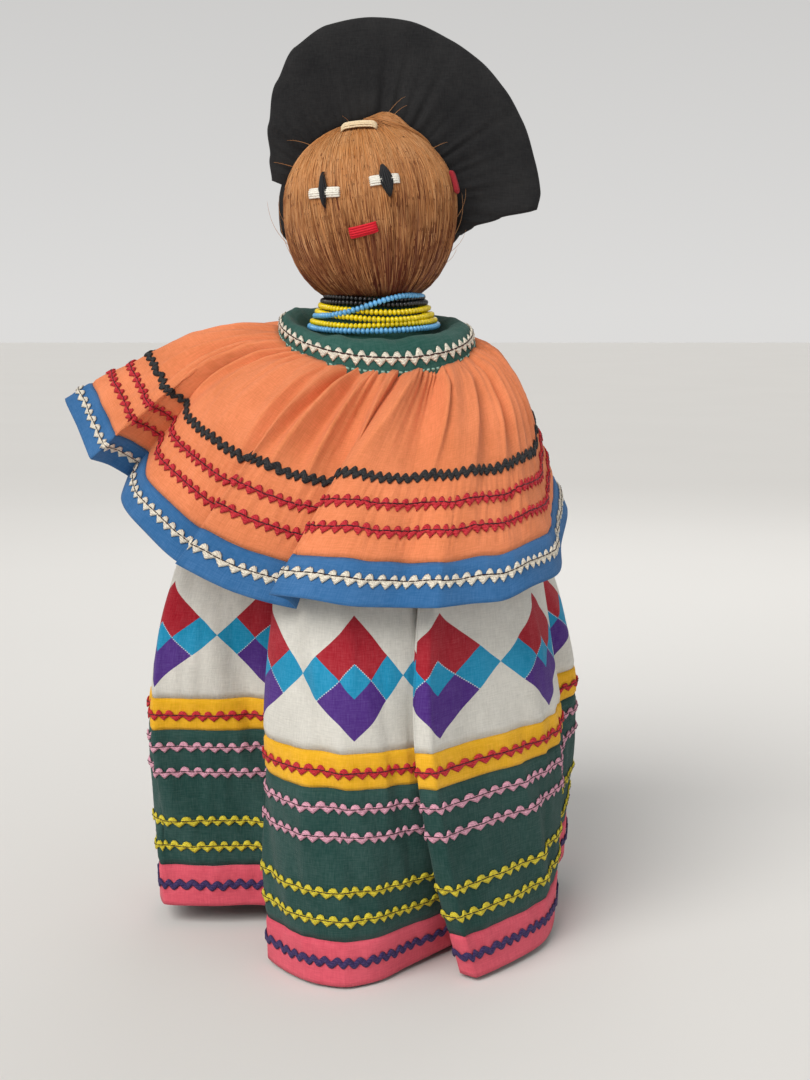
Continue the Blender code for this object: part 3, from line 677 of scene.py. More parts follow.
def ricrac_piece(name, garment, row, material, slot, node, thread=None, scale=1.0):
    """A wavy braid sewn flat along one row: folded over its line of stitches, or plain without one."""
    trim = bpy.context.scene.doll_trim
    count = round(garment.girth / trim.braid_pitch)
    thick = trim.braid_thickness / 2
    lift = bpy.context.scene.doll_cloth.thickness / 2 + SEAM_GAP + thick
    bm = bmesh.new()

    def place(x, y):
        top, bottom = bump_edges(trim, count * x) if thread else wavy_edges(trim, count * x)
        turn = 2 * math.pi * y
        height = scale * (bottom + (top - bottom) * (1 - math.cos(turn)) / 2)
        middle = trim.braid_swing * math.sin(2 * math.pi * (count * x + 0.25 * bool(thread)))
        ridge = math.exp(-(((height - middle) / BRAID_RIDGE_WIDTH) ** 2))
        rise = thick * math.copysign(abs(math.sin(turn)) ** 0.7, math.sin(turn))
        rise += BRAID_RIDGE * ridge if rise > 0 else 0.0
        wander = BRAID_WANDER * wave(x, 90, row * 700)
        return garment.lifted(garment.seam + x, row + height + wander, lift + rise)

    def coordinates(x, y):
        return (x * garment.girth, 0.002 * math.cos(2 * math.pi * y))

    mapped_grid(bm, count * BRAID_COLUMNS, BRAID_SIDES, place, coordinates)
    materials = [material]
    if thread:
        materials.append(thread)
        thread_line(bm, garment, row, lift + thick + THREAD_LIFT, trim.thread_radius, 1,
                    BRAID_STITCH_LENGTH, THREAD_DIP)
    close_seams(bm)
    bmesh.ops.recalc_face_normals(bm, faces=bm.faces)
    add_piece(name, bm, materials, slot, [node])


class Finish:
    """A procedural material, built node by node."""

    def __init__(self, name, **sockets):
        self.material = bpy.data.materials.new(name)
        self.material.use_nodes = True
        self.tree = self.material.node_tree
        self.shader = self.tree.nodes["Principled BSDF"]
        for label, value in sockets.items():
            self.feed(self.shader.inputs[label.replace("_", " ")], value)

    def feed(self, socket, value):
        if isinstance(value, bpy.types.NodeSocket):
            self.tree.links.new(value, socket)
        elif socket.type == "RGBA" and len(value) == 3:
            socket.default_value = (*value, 1.0)
        else:
            socket.default_value = value

    def node(self, kind, inputs=(), **settings):
        made = self.tree.nodes.new(kind)
        for key, value in settings.items():
            setattr(made, key, value)
        for key, value in dict(inputs).items():
            self.feed(made.inputs[key], value)
        return made

    def place(self, kind="Object", scale=(1.0, 1.0, 1.0)):
        """Coordinates of the surface, in metres, stretched by a scale."""
        source = self.node("ShaderNodeTexCoord").outputs[kind]
        return self.node("ShaderNodeMapping", {"Vector": source, "Scale": scale}).outputs[0]

    def math(self, operation, *values):
        made = self.node("ShaderNodeMath", operation=operation)
        for i, value in enumerate(values):
            self.feed(made.inputs[i], value)
        return made.outputs[0]

    def plus(self, first, second):
        return self.math("ADD", first, second)

    def minus(self, first, second):
        return self.math("SUBTRACT", first, second)

    def times(self, first, second):
        return self.math("MULTIPLY", first, second)

    def over(self, first, second):
        return self.math("DIVIDE", first, second)

    def noise(self, vector, scale, detail=2.0, rough=0.5):
        return self.node("ShaderNodeTexNoise", {"Vector": vector, "Scale": scale, "Detail": detail,
                                                "Roughness": rough}).outputs[0]

    def range(self, value, low, high, to_low=0.0, to_high=1.0):
        return self.node("ShaderNodeMapRange", {"Value": value, "From Min": low, "From Max": high,
                                                "To Min": to_low, "To Max": to_high}).outputs[0]

    def darker(self, base, tint):
        return self.mix(1.0, base, tint, "MULTIPLY")

    def mix(self, share, first, second, blend="MIX"):
        made = self.node("ShaderNodeMix", data_type="RGBA", blend_type=blend)
        self.feed(made.inputs[0], share)
        self.feed(made.inputs[6], first)
        self.feed(made.inputs[7], second)
        return made.outputs[2]

    def colour(self, value):
        self.feed(self.shader.inputs["Base Color"], value)

    def bump(self, height, distance, strength=1.0):
        made = self.node("ShaderNodeBump", {"Height": height, "Distance": distance, "Strength": strength})
        self.feed(self.shader.inputs["Normal"], made.outputs[0])


def cloth_finish(name, colour, paint=None):
    """Plain woven cotton: crossing threads, soft puckers, slightly uneven dye, and painted shade in the
    weave's hollows with painted light on its crossings.
    """
    finish = Finish(name, Roughness=0.9, Sheen_Weight=0.08, Sheen_Roughness=0.5, Specular_IOR_Level=0.2)
    metres = finish.place("UV")
    split = finish.node("ShaderNodeSeparateXYZ", {"Vector": metres})
    u, v = split.outputs[0], split.outputs[1]
    warp = finish.math("SINE", finish.times(u, 2 * math.pi / CLOTH_THREAD))
    weft = finish.math("SINE", finish.times(v, 2 * math.pi / CLOTH_THREAD))
    weave = finish.times(warp, weft)
    filling = finish.noise(finish.place("UV", (240.0, 2300.0, 1.0)), 1.0, 2.0)
    warping = finish.noise(finish.place("UV", (2300.0, 240.0, 1.0)), 1.0, 2.0)
    slub = finish.times(finish.plus(filling, warping), 0.5)
    dye = finish.noise(finish.place("Object"), 42.0, 3.0)
    base = paint(finish, u, v) if paint else colour
    # The darker end serves both the dye's uneven tone and the painted shade of the weave's hollows. The weave
    # term in the mix paints that shade and light; the dye and slub terms are the cloth's own tone.
    deep = finish.darker(base, (DYE_AND_HOLLOW_SHADE,) * 3)
    light = finish.mix(finish.times(slub, 0.06), base, (1.0, 1.0, 1.0))
    shade = finish.plus(finish.times(dye, 0.45), finish.times(weave, 0.06))
    shade = finish.plus(shade, finish.times(slub, 0.6))
    finish.colour(finish.mix(finish.range(shade, 0.36, 0.66), deep, light))
    pucker = finish.noise(finish.place("UV", (330.0, 60.0, 1.0)), 1.0, 2.0)
    height = finish.plus(finish.times(weave, 0.16), finish.times(slub, 0.7))
    height = finish.plus(height, pucker)
    finish.bump(height, 0.0004, 0.7)
    return finish.material


def patchwork_paint(finish, u, v):
    """Colours of the patchwork: squares on point, red above, turquoise across and purple below."""
    cloth = bpy.context.scene.doll_cloth
    repeats = finish.over(finish.minus(u, PATCH_PHASE), PATCH_PITCH)
    turn = finish.math("FRACT", finish.plus(repeats, 0.5))
    x = finish.times(finish.minus(turn, 0.5), PATCH_PITCH)
    y = finish.minus(v, PATCH_MIDDLE)
    drop = finish.minus(PATCH_REACH, y)
    a = finish.over(finish.plus(drop, x), 2 * PATCH_REACH)
    b = finish.over(finish.minus(drop, x), 2 * PATCH_REACH)

    def above(value, edge):
        return finish.math("GREATER_THAN", value, edge)

    both = finish.times

    def flip(value):
        return finish.minus(1.0, value)

    def dashes(across, along):
        near = finish.math("COMPARE", across, PATCH_LOW, PATCH_STITCH_WIDTH)
        gap = finish.math("FRACT", finish.times(along, PATCH_STITCHES))
        ends = both(above(along, PATCH_LOW), flip(above(along, 1.0)))
        return both(both(near, above(gap, PATCH_STITCH_GAP)), ends)

    a_low, b_low = flip(above(a, PATCH_LOW)), flip(above(b, PATCH_LOW))
    a_high, b_high = above(a, PATCH_HIGH), above(b, PATCH_HIGH)
    outside = finish.math("MAXIMUM", above(a, 1.0), above(b, 1.0))
    inside = both(both(above(a, 0.0), above(b, 0.0)), flip(outside))
    red = both(flip(a_high), flip(b_high))
    centre = both(both(flip(a_low), flip(a_high)), both(flip(b_low), flip(b_high)))
    blue = finish.math("MAXIMUM", centre, finish.math("MAXIMUM", both(a_high, b_low), both(b_high, a_low)))
    patch = finish.mix(red, cloth.patch_purple, cloth.patch_red)
    patch = finish.mix(blue, patch, cloth.patch_blue)
    patch = finish.mix(finish.math("MAXIMUM", dashes(a, b), dashes(b, a)), patch, cloth.patch_stitch)
    return finish.mix(inside, cloth.patch_white, patch)


def braid_finish(name, colour):
    """Woven ric-rac tape: slanting threads across the tape, painted lighter and darker across each thread as
    painted highlight and shade, over uneven fuzz.
    """
    finish = Finish(name, Roughness=0.75, Sheen_Weight=0.04, Specular_IOR_Level=0.25)
    split = finish.node("ShaderNodeSeparateXYZ", {"Vector": finish.place("UV")})
    slant = finish.plus(finish.times(split.outputs[0], 6500.0),
                        finish.times(finish.math("ABSOLUTE", split.outputs[1]), 5200.0))
    rib = finish.math("SINE", slant)
    fuzz = finish.noise(finish.place("Object"), 900.0, 2.0)
    # The slanting ribs paint highlight and shade across the threads, and the lighter colour is a faint
    # painted highlight; the fuzz is the tape's own uneven tone.
    share = finish.range(finish.plus(finish.times(rib, 0.22), fuzz), 0.2, 0.8)
    dark = finish.darker(colour, (0.62, 0.60, 0.62))
    finish.colour(finish.mix(share, dark, finish.mix(0.03, colour, (1.0, 1.0, 1.0))))
    finish.bump(finish.plus(finish.times(rib, 0.4), fuzz), 0.0003, 0.6)
    return finish.material


def thread_finish(name, colour):
    """Twisted cotton thread."""
    finish = Finish(name, Roughness=0.6, Sheen_Weight=0.04, Specular_IOR_Level=0.3)
    fuzz = finish.noise(finish.place("Object"), THREAD_FUZZ, 2.0)
    dark = finish.darker(colour, (0.74, 0.72, 0.72))
    finish.colour(finish.mix(finish.range(fuzz, 0.25, 0.6), dark, colour))
    finish.bump(fuzz, 0.0002, 0.5)
    return finish.material


def bead_finish(name, colour, roughness=0.22):
    """Opaque glass seed beads."""
    finish = Finish(name, Roughness=roughness, Specular_IOR_Level=0.5, Coat_Weight=0.3, Coat_Roughness=0.12)
    tint = finish.noise(finish.place("Object"), 420.0, 1.0)
    dark = finish.darker(colour, (0.78, 0.76, 0.74))
    finish.colour(finish.mix(finish.range(tint, 0.35, 0.65), dark, colour))
    return finish.material


def fibre_finish(name, colour, dark, dark_share=0.0):
    """Palmetto fibre: fine streaks along the strands, golden above and red brown below."""
    finish = Finish(name, Roughness=0.6, Specular_IOR_Level=0.3)
    split = finish.node("ShaderNodeSeparateXYZ", {"Vector": finish.place("UV")})
    fine = finish.noise(finish.place("UV", (420.0, 7.0, 1.0)), 1.0, 2.0, 0.6)
    middle = finish.noise(finish.place("UV", (150.0, 3.4, 1.0)), 1.0, 2.0, 0.6)
    broad = finish.noise(finish.place("UV", (26.0, 2.2, 1.0)), 1.0, 2.0, 0.6)
    dashes = finish.noise(finish.place("UV", (330.0, 46.0, 1.0)), 1.0, 1.0, 0.5)
    streak = finish.plus(finish.times(fine, 0.5), finish.times(middle, 0.38))
    streak = finish.plus(streak, finish.times(broad, 0.28))
    height = finish.range(split.outputs[1], 0.10, 0.75)
    upper = finish.times(height, 0.20)
    share = finish.range(finish.plus(streak, finish.minus(upper, dark_share)), 0.56, 0.74)
    spot_line = finish.range(height, 0.0, 1.0, 0.60, 0.72)
    spots = finish.times(finish.math("GREATER_THAN", dashes, spot_line), 0.75)
    pale = finish.mix(finish.range(fine, 0.35, 0.75), colour, finish.mix(0.22, colour, (1.0, 0.80, 0.50)))
    finish.colour(finish.mix(spots, finish.mix(share, dark, pale), dark))
    finish.bump(fine, 0.0006, 0.8)
    return finish.material


def board_finish(name, colour):
    """Black cotton with a faint weave."""
    finish = Finish(name, Roughness=0.85, Sheen_Weight=0.1, Sheen_Roughness=0.4, Specular_IOR_Level=0.2)
    upright = finish.noise(finish.place("Object", (2600.0, 2600.0, 260.0)), 1.0, 1.0)
    level = finish.noise(finish.place("Object", (260.0, 2600.0, 2600.0)), 1.0, 1.0)
    weave = finish.times(finish.plus(upright, level), 0.5)
    cloud = finish.noise(finish.place("Object"), 55.0, 3.0)
    lighter = finish.mix(0.014, colour, (1.0, 0.98, 0.94))
    shade = finish.plus(finish.times(cloud, 0.5), finish.times(weave, 0.5))
    finish.colour(finish.mix(finish.range(shade, 0.35, 0.65), colour, lighter))
    finish.bump(weave, 0.0003, 0.6)
    return finish.material


def floor_finish():
    finish = Finish("pale_floor", Roughness=0.8, Specular_IOR_Level=0.2)
    cloud = finish.noise(finish.place("Object"), 3.0, 2.0)
    finish.colour(finish.mix(cloud, (0.72, 0.71, 0.69), (0.75, 0.74, 0.72)))
    return finish.material


def head_surface(direction, lift=0.0):
    """The head's surface in a direction, with the tuft's hump on the crown."""
    d = direction.normalized()
    half_height, fullness = (HEAD_TOP_HEIGHT, 2.0) if d.z > 0 else (HEAD_JAW_DEPTH, HEAD_JAW_FULLNESS)
    flat = math.hypot(d.x, d.y) / HEAD_RADIUS
    reach = (flat ** fullness + abs(d.z / half_height) ** fullness) ** (-1 / fullness)
    reach += TUFT_HEIGHT * math.exp(-((d.angle(TUFT_DIRECTION) / TUFT_SPREAD) ** 2))
    spot = HEAD_CENTRE + d * (reach + lift)
    spot.z = max(spot.z, NECK_TOP)
    return spot


def head_direction(azimuth, latitude):
    """Unit direction from the head's centre: azimuth 0 faces the viewer, in degrees."""
    a = math.radians(azimuth)
    b = math.radians(latitude)
    return Vector((math.sin(a) * math.cos(b), -math.cos(a) * math.cos(b), math.sin(b)))


def directions(ends):
    """Two directions from the head's centre, given by their azimuths and latitudes."""
    return head_direction(*ends[0]), head_direction(*ends[1])


TIE_TURN = Vector((0, 0, 1)).rotation_difference(TIE_AXIS)


def tie_direction(turn, polar):
    """A direction by its turn about the tie and its angle down from it, in radians."""
    flat = math.sin(polar)
    return TIE_TURN @ Vector((flat * math.sin(turn), -flat * math.cos(turn), math.cos(polar)))


def tube(bm, centre, steps, radius, sides, coordinates=None):
    """A tube along centre(t) with radius(t) for t from 0 to 1."""
    frames = []
    for k in range(steps + 1):
        t = k / steps
        spot = centre(t)
        ahead = centre(min(1.0, t + 0.5 / steps)) - centre(max(0.0, t - 0.5 / steps))
        ahead.normalize()
        across = ahead.cross(TUBE_UPRIGHT).normalized()
        frames.append((spot, across, ahead.cross(across).normalized()))

    def place(x, y):
        spot, across, over = frames[round(y * steps)]
        turn = 2 * math.pi * x
        return spot + (across * math.cos(turn) + over * math.sin(turn)) * radius(y)

    mapped_grid(bm, sides, steps, place, coordinates)


def taper(t, share):
    """A tube's thickness along it: round ends, each a share of its length, that close to a point."""
    return math.sqrt(max(0.0, min(1.0, t / share, (1 - t) / share)))


def stitched_bar(name, ends, bar, material, slot, node, pointed=False):
    """A bar of satin stitch: parallel threads that follow the head from one direction to another."""
    start, end = directions(ends)
    width, threads, height = bar
    bm = bmesh.new()
    across = start.cross(end).normalized()
    size = width / threads * 0.62
    for j in range(threads):
        side = (j + 0.5) / threads * 2 - 1

        def centre(t, side=side):
            along = start.slerp(end, t)
            spread = 1 - abs(2 * t - 1) ** 1.5 if pointed else 1.0
            swing = across * (side * width / 2 * spread / HEAD_RADIUS)
            crown = height * (1 - 0.55 * side * side) * min(1.0, 7 * t, 7 * (1 - t)) ** 0.5
            return head_surface(along + swing, crown - size * 0.4)

        def thickness(t):
            return size * taper(t, 0.06) * (0.35 + 0.65 * (1 - abs(2 * t - 1) ** 1.5) if pointed else 1.0)

        tube(bm, centre, STITCH_STEPS, thickness, STITCH_SIDES)
    close_seams(bm)
    add_piece(name, bm, [material], slot, [node])


def felt_patch(name, ends, height, material, node):
    """A thin felt ear laid on the head between two directions."""
    start, end = directions(ends)
    bm = bmesh.new()
    across = start.cross(end).normalized()

    def place(x, y):
        turn = 2 * math.pi * x
        side = math.copysign(abs(math.cos(turn)) ** 0.6, math.cos(turn))
        top = math.copysign(abs(math.sin(turn)) ** 0.6, math.sin(turn))
        blunt = min(1.0, (10 * min(y, 1 - y)) ** 0.5)
        along = start.slerp(end, min(0.9999, y))
        swing = across * (side * EAR_WIDTH / 2 * (0.6 + 0.4 * blunt) / HEAD_RADIUS)
        return head_surface(along + swing, height * (0.5 + 0.5 * top * blunt))

    mapped_grid(bm, *EAR_GRID, place)
    close_seams(bm)
    bmesh.ops.holes_fill(bm, edges=[edge for edge in bm.edges if edge.is_boundary], sides=0)
    bmesh.ops.recalc_face_normals(bm, faces=bm.faces)
    add_piece(name, bm, [material], "red_felt", [node])


class OBJECT_OT_doll_skirt(bpy.types.Operator):
    """Builds the four cloth bands of the skirt"""

    bl_idname = "object.doll_skirt"
    bl_label = "Skirt"

    def execute(self, context):
        cloth = context.scene.doll_cloth
        cloth_piece("skirt_hem_cloth", SKIRT, (0.0, SKIRT_HEM_BAND - SEAM_GAP), (SKIRT_COLUMNS, BAND_ROWS),
                    cloth_finish("pink_cotton", cloth.pink), "pink_cloth", "skirt_hem", (False, True))
        cloth_piece("skirt_green_cloth", SKIRT, (SKIRT_HEM_BAND + SEAM_GAP, SKIRT_GREEN_BAND - SEAM_GAP),
                    (SKIRT_COLUMNS, GREEN_ROWS), cloth_finish("green_skirt_cotton", cloth.dark_green),
                    "green_skirt_cloth", "skirt_green_band")
        cloth_piece("skirt_yellow_cloth", SKIRT, (SKIRT_GREEN_BAND + SEAM_GAP, SKIRT_YELLOW_BAND - SEAM_GAP),
                    (SKIRT_COLUMNS, BAND_ROWS), cloth_finish("yellow_cotton", cloth.yellow),
                    "yellow_cloth", "skirt_yellow_band")
        patchwork = cloth_finish("patchwork_cotton", cloth.patch_white, patchwork_paint)
        cloth_piece("skirt_patchwork_cloth", SKIRT, (SKIRT_YELLOW_BAND + SEAM_GAP, SKIRT_LENGTH),
                    (SKIRT_COLUMNS, PATCHWORK_ROWS), patchwork, "patchwork_cloth", "skirt_patchwork_band",
                    (True, False))
        return {"FINISHED"}


class OBJECT_OT_doll_skirt_braids(bpy.types.Operator):
    """Sews the ric-rac braids round the skirt"""

    bl_idname = "object.doll_skirt_braids"
    bl_label = "Skirt ric-rac"

    def execute(self, context):
        trim = context.scene.doll_trim
        purple = braid_finish("purple_ricrac_tape", trim.purple)
        yellow = braid_finish("yellow_ricrac_tape", trim.yellow)
        pink = braid_finish("pink_ricrac_tape", trim.pink)
        red = braid_finish("skirt_red_ricrac_tape", trim.red)
        dark = thread_finish("skirt_sewing_thread", linear(40, 26, 26))
        ricrac_piece("skirt_purple_tape", SKIRT, SKIRT_PURPLE_BRAID, purple, "purple_braid",
                     "skirt_purple_ricrac")
        for colour, tape, rows in (("yellow", yellow, SKIRT_YELLOW_BRAIDS),
                                   ("pink", pink, SKIRT_PINK_BRAIDS)):
            for row, place in zip(rows, ("lower", "upper")):
                ricrac_piece(f"skirt_{colour}_tape_{place}", SKIRT, row, tape, colour + "_braid",
                             f"skirt_{colour}_ricrac_{place}", dark)
        ricrac_piece("skirt_red_tape", SKIRT, SKIRT_RED_BRAID, red, "red_braid", "skirt_red_ricrac", dark)
        return {"FINISHED"}


class OBJECT_OT_doll_cape(bpy.types.Operator):
    """Builds the gathered cape and its hem band"""

    bl_idname = "object.doll_cape"
    bl_label = "Cape"

    def execute(self, context):
        cloth = context.scene.doll_cloth
        cloth_piece("cape_hem_cloth", CAPE, (0.0, CAPE_HEM_BAND - SEAM_GAP), (CAPE_COLUMNS, BAND_ROWS),
                    cloth_finish("blue_cotton", cloth.blue), "blue_cloth", "cape_hem", (False, True))
        cloth_piece("cape_cloth", CAPE, (CAPE_HEM_BAND + SEAM_GAP, CAPE_LENGTH), (CAPE_COLUMNS, CAPE_ROWS),
                    cloth_finish("orange_cotton", cloth.orange), "orange_cloth", "cape",
                    (True, False))
        return {"FINISHED"}


class OBJECT_OT_doll_cape_braids(bpy.types.Operator):
    """Sews the ric-rac braids round the cape"""

    bl_idname = "object.doll_cape_braids"
    bl_label = "Cape ric-rac"

    def execute(self, context):
        trim = context.scene.doll_trim
        dark = thread_finish("dark_sewing_thread", linear(44, 18, 24))
        red = braid_finish("cape_red_ricrac_tape", trim.red)
        ricrac_piece("cape_white_tape", CAPE, CAPE_WHITE_BRAID, braid_finish("white_ricrac_tape", trim.white),
                     "white_braid", "cape_white_ricrac", dark)
        for row, place in zip(CAPE_RED_BRAIDS, ("lower", "upper")):
            ricrac_piece("cape_red_tape_" + place, CAPE, row, red, "red_braid",
                         "cape_red_ricrac_" + place, dark)
        ricrac_piece("cape_black_tape", CAPE, CAPE_BLACK_BRAID, braid_finish("black_ricrac_tape", trim.black),
                     "black_braid", "cape_black_ricrac")
        return {"FINISHED"}


class OBJECT_OT_doll_yoke(bpy.types.Operator):
    """Builds the green yoke with its ric-rac and stitches"""

    bl_idname = "object.doll_yoke"
    bl_label = "Yoke"

    def execute(self, context):
        trim = context.scene.doll_trim
        cloth = context.scene.doll_cloth
        green = cloth_finish("green_yoke_cotton", cloth.green)
        pale = thread_finish("pale_sewing_thread", linear(150, 190, 176))
        bm = bmesh.new()
        end = YOKE_ROWS[-1] * MM
        mapped_grid(bm, *YOKE_GRID, lambda x, y: yoke_surface(YOKE.seam + x, end * y),
                    lambda x, y: (x * YOKE.girth, y * end))
        close_seams(bm)
        thing = add_piece("yoke_cloth", bm, [green], "green_yoke_cloth", ["yoke"], cloth.thickness)
        dark = thread_finish("dark_yoke_thread", linear(60, 34, 30))
        ricrac_piece("yoke_tape", YOKE, YOKE_BRAID, braid_finish("yoke_ricrac_tape", trim.white),
                     "white_braid", "yoke_ricrac", dark, YOKE_BRAID_SCALE)
        bm = bmesh.new()
        thread_line(bm, YOKE, YOKE_STITCHES, cloth.thickness / 2, trim.thread_radius * 1.3, 0,
                    YOKE_STITCH_LENGTH, YOKE_STITCH_DIP)
        close_seams(bm)
        add_piece("yoke_stitches", bm, [pale], "green_yoke_cloth", [])
        return {"FINISHED"}


def strand_point(angle, order, lift=0.0):
    """A point on a strand of beads that lies on the yoke's slope up the neck."""
    foot = Vector(YOKE_SECTION[-2]) * MM
    slope = (Vector(YOKE_SECTION[-1]) * MM - foot).normalized()
    outward = Vector((slope.y, -slope.x))
    under = foot + slope * (STRAND_FIRST + STRAND_PITCH * order)
    clear = STRAND_CLEAR + lift
    base = neck_point(angle, COLLAR_RADIUS + under.x, COLLAR_HEIGHT + under.y)
    return base + Vector((STRAND_ASIDE + math.cos(angle) * outward.x * clear,
                          math.sin(angle) * outward.x * clear, outward.y * clear))


def draped_order(left, right, sag, angle):
    """How high up the neck a strand lies at an angle: an order at each side, less its sag in front."""
    share = smooth_step(-0.75, 0.75, math.cos(angle))
    front = max(0.0, -math.sin(angle)) ** 1.5
    return left + (right - left) * share - sag * front + 0.10 * wave(angle / (2 * math.pi), 7, 2.0 + left)


class OBJECT_OT_doll_necklaces(bpy.types.Operator):
    """Strings the seven strands of beads"""

    bl_idname = "object.doll_necklaces"
    bl_label = "Necklaces"

    def execute(self, context):
        trim = context.scene.doll_trim
        blue = bead_finish("blue_glass", trim.bead_blue)
        yellow = bead_finish("yellow_glass", trim.bead_yellow)
        black = bead_finish("black_glass", trim.bead_black, 0.3)
        strands = (("blue_lower", blue, "blue_beads", (0.0, 0.4, 0.4), 0.3),
                   ("yellow_lower", yellow, "yellow_beads", (0.85, 1.2, 0.3), -0.9),
                   ("blue_upper", blue, "blue_beads", (1.75, 5.1, 0.0), 1.9),
                   ("yellow_middle", yellow, "yellow_beads", (2.65, 2.1, 0.9), 0.5),
                   ("yellow_upper", yellow, "yellow_beads", (3.6, 3.3, 0.95), 0.2),
                   ("black_lower", black, "black_beads", (4.45, 4.2, 0.6), -0.2),
                   ("black_upper", black, "black_beads", (5.3, 5.0, 0.5), -0.4))
        for order, (name, material, slot, drape, lift) in enumerate(strands):
            self.string_beads(trim, order, drape, lift * MM, name, material, slot)
        return {"FINISHED"}

    def string_beads(self, trim, order, drape, lift, name, material, slot):
        random.seed(40 + order)

        def spot(angle):
            crossing = 1 - abs(math.cos(angle)) ** 2
            return strand_point(angle, draped_order(*drape, angle), lift * crossing)

        line = [spot(2 * math.pi * k / STRAND_STEPS) for k in range(STRAND_STEPS + 1)]
        lengths = [0.0]
        for before, after in zip(line, line[1:]):
            lengths.append(lengths[-1] + (after - before).length)
        count = round(lengths[-1] / trim.bead_pitch)
        bm = bmesh.new()
        bm.loops.layers.uv.verify()
        for n in range(count):
            length = lengths[-1] * n / count
            k = bisect.bisect_right(lengths, length) - 1
            share = (length - lengths[k]) / (lengths[k + 1] - lengths[k])
            along = (line[k + 1] - line[k]).normalized()
            turn = along.to_track_quat("Z", "Y").to_matrix().to_4x4()
            size = trim.bead_radius * random.uniform(0.95, 1.05)
            shape = Matrix.Diagonal((size, size, size * BEAD_FLATNESS, 1.0))
            place = Matrix.Translation(line[k].lerp(line[k + 1], share))
            bmesh.ops.create_uvsphere(bm, u_segments=BEAD_SEGMENTS, v_segments=BEAD_RINGS, radius=1.0,
                                      matrix=place @ turn @ shape)
        add_piece("beads_" + name, bm, [material], slot, ["necklace_" + name])


class OBJECT_OT_doll_head(bpy.types.Operator):
    """Builds the fibre ball of the head, its strands, its tuft and its tie"""

    bl_idname = "object.doll_head"
    bl_label = "Head"

    def execute(self, context):
        fibre = context.scene.doll_fibre
        material = fibre_finish("head_fibre", fibre.fibre, fibre.fibre_dark)
        bm = bmesh.new()

        def ball(x, y):
            turn = 2 * math.pi * x + math.pi
            relief = HEAD_RELIEF * wave(x, 150, 3.0 + 1.5 * y)
            return head_surface(tie_direction(turn, math.pi * (1 - y)), relief * math.sin(math.pi * y))

        mapped_grid(bm, *HEAD_GRID, ball)
        random.seed(7)
        for n in range(fibre.strands):
            self.lay_strand(bm, fibre, n)
        for n in range(TUFT_STRANDS):
            self.lay_tuft_strand(bm, fibre)
        for azimuth, latitude, length, lean in LOOSE_HAIRS:
            self.stray_hair(bm, fibre, azimuth, latitude, length * MM, lean)
        close_seams(bm)
        add_piece("head_fibre_ball", bm, [material], "fibre", ["head"])
        cream = thread_finish("cream_tie_thread", fibre.tie)
        stitched_bar("tuft_tie", TIE, TIE_BAR, cream, "cream_thread", "top_tie")
        return {"FINISHED"}

    def lay_tuft_strand(self, bm, fibre):
        """A fibre that runs back from under the tie, over the tuft's hump."""
        side = random.uniform(-1.0, 1.0)
        reach = random.uniform(0.7, 1.25)
        rise = random.uniform(0.0002, 0.0012)
        seed = random.uniform(0, 90)

        def centre(t):
            azimuth = 8.0 + 30.0 * side * t + 100.0 * t * reach
            spread = 0.25 * side * (0.4 + 0.6 * t)
            way = head_direction(azimuth, 82.0 - 42.0 * t * reach) + Vector((spread, 0.0, 0.0))
            bend = 0.0004 * noise.noise(Vector((seed, 2.5 * t, 0.0)))
            return head_surface(way, rise * math.sin(math.pi * min(1.0, t + 0.1)) + bend)

        tube(bm, centre, FIBRE_STEPS, lambda t: fibre.strand_radius * 1.1 * taper(t, 0.15), FIBRE_SIDES,
             coordinates=lambda x, y: (seed / 90, 0.95 - 0.3 * y))

    def stray_hair(self, bm, fibre, azimuth, latitude, length, lean):
        """A loose fibre that springs off the head and bends over."""
        way = head_direction(azimuth, latitude)
        start = head_surface(way, -0.0002)
        aside = Vector((way.x, way.y, 0.0)).normalized()
        ahead = (aside * math.cos(math.radians(lean)) + Vector((0, 0, 1)) * math.sin(math.radians(lean)))

        def centre(t):
            return start + ahead * (length * t) + way * (0.10 * length * math.sin(math.pi * t))

        def thickness(t):
            return fibre.strand_radius * 0.62 * (1 - 0.6 * t) * taper(t, 0.05)

        tube(bm, centre, FIBRE_STEPS, thickness, FIBRE_SIDES,
             coordinates=lambda x, y: (abs(azimuth) / 360, 0.9))

    def lay_strand(self, bm, fibre, n):
        """A fibre laid down the head, away from the tie."""
        turn = 2 * math.pi * (n + random.random()) / fibre.strands + math.pi
        start = random.uniform(0.10, 0.9) ** 2 * 1.6 + 0.12
        end = min(2.75, start + random.uniform(0.9, 2.2))
        drift = random.uniform(-0.10, 0.10)
        rise = random.uniform(-0.00005, 0.00022)
        size = fibre.strand_radius * random.uniform(0.7, 1.15)
        seed = random.uniform(0, 90)

        def centre(t):
            polar = start + (end - start) * t
            way = turn + drift * t + 0.025 * noise.noise(Vector((seed, 3.0 * t, 0.0)))
            return head_surface(tie_direction(way, polar), rise)

        def coordinates(x, y):
            share = ((turn - math.pi) / (2 * math.pi)) % 1.0
            return (share + 0.004 * (n % 7), 1 - (start + (end - start) * y) / math.pi)

        tube(bm, centre, FIBRE_STEPS, lambda t: size * taper(t, 0.15), FIBRE_SIDES,
             coordinates=coordinates)


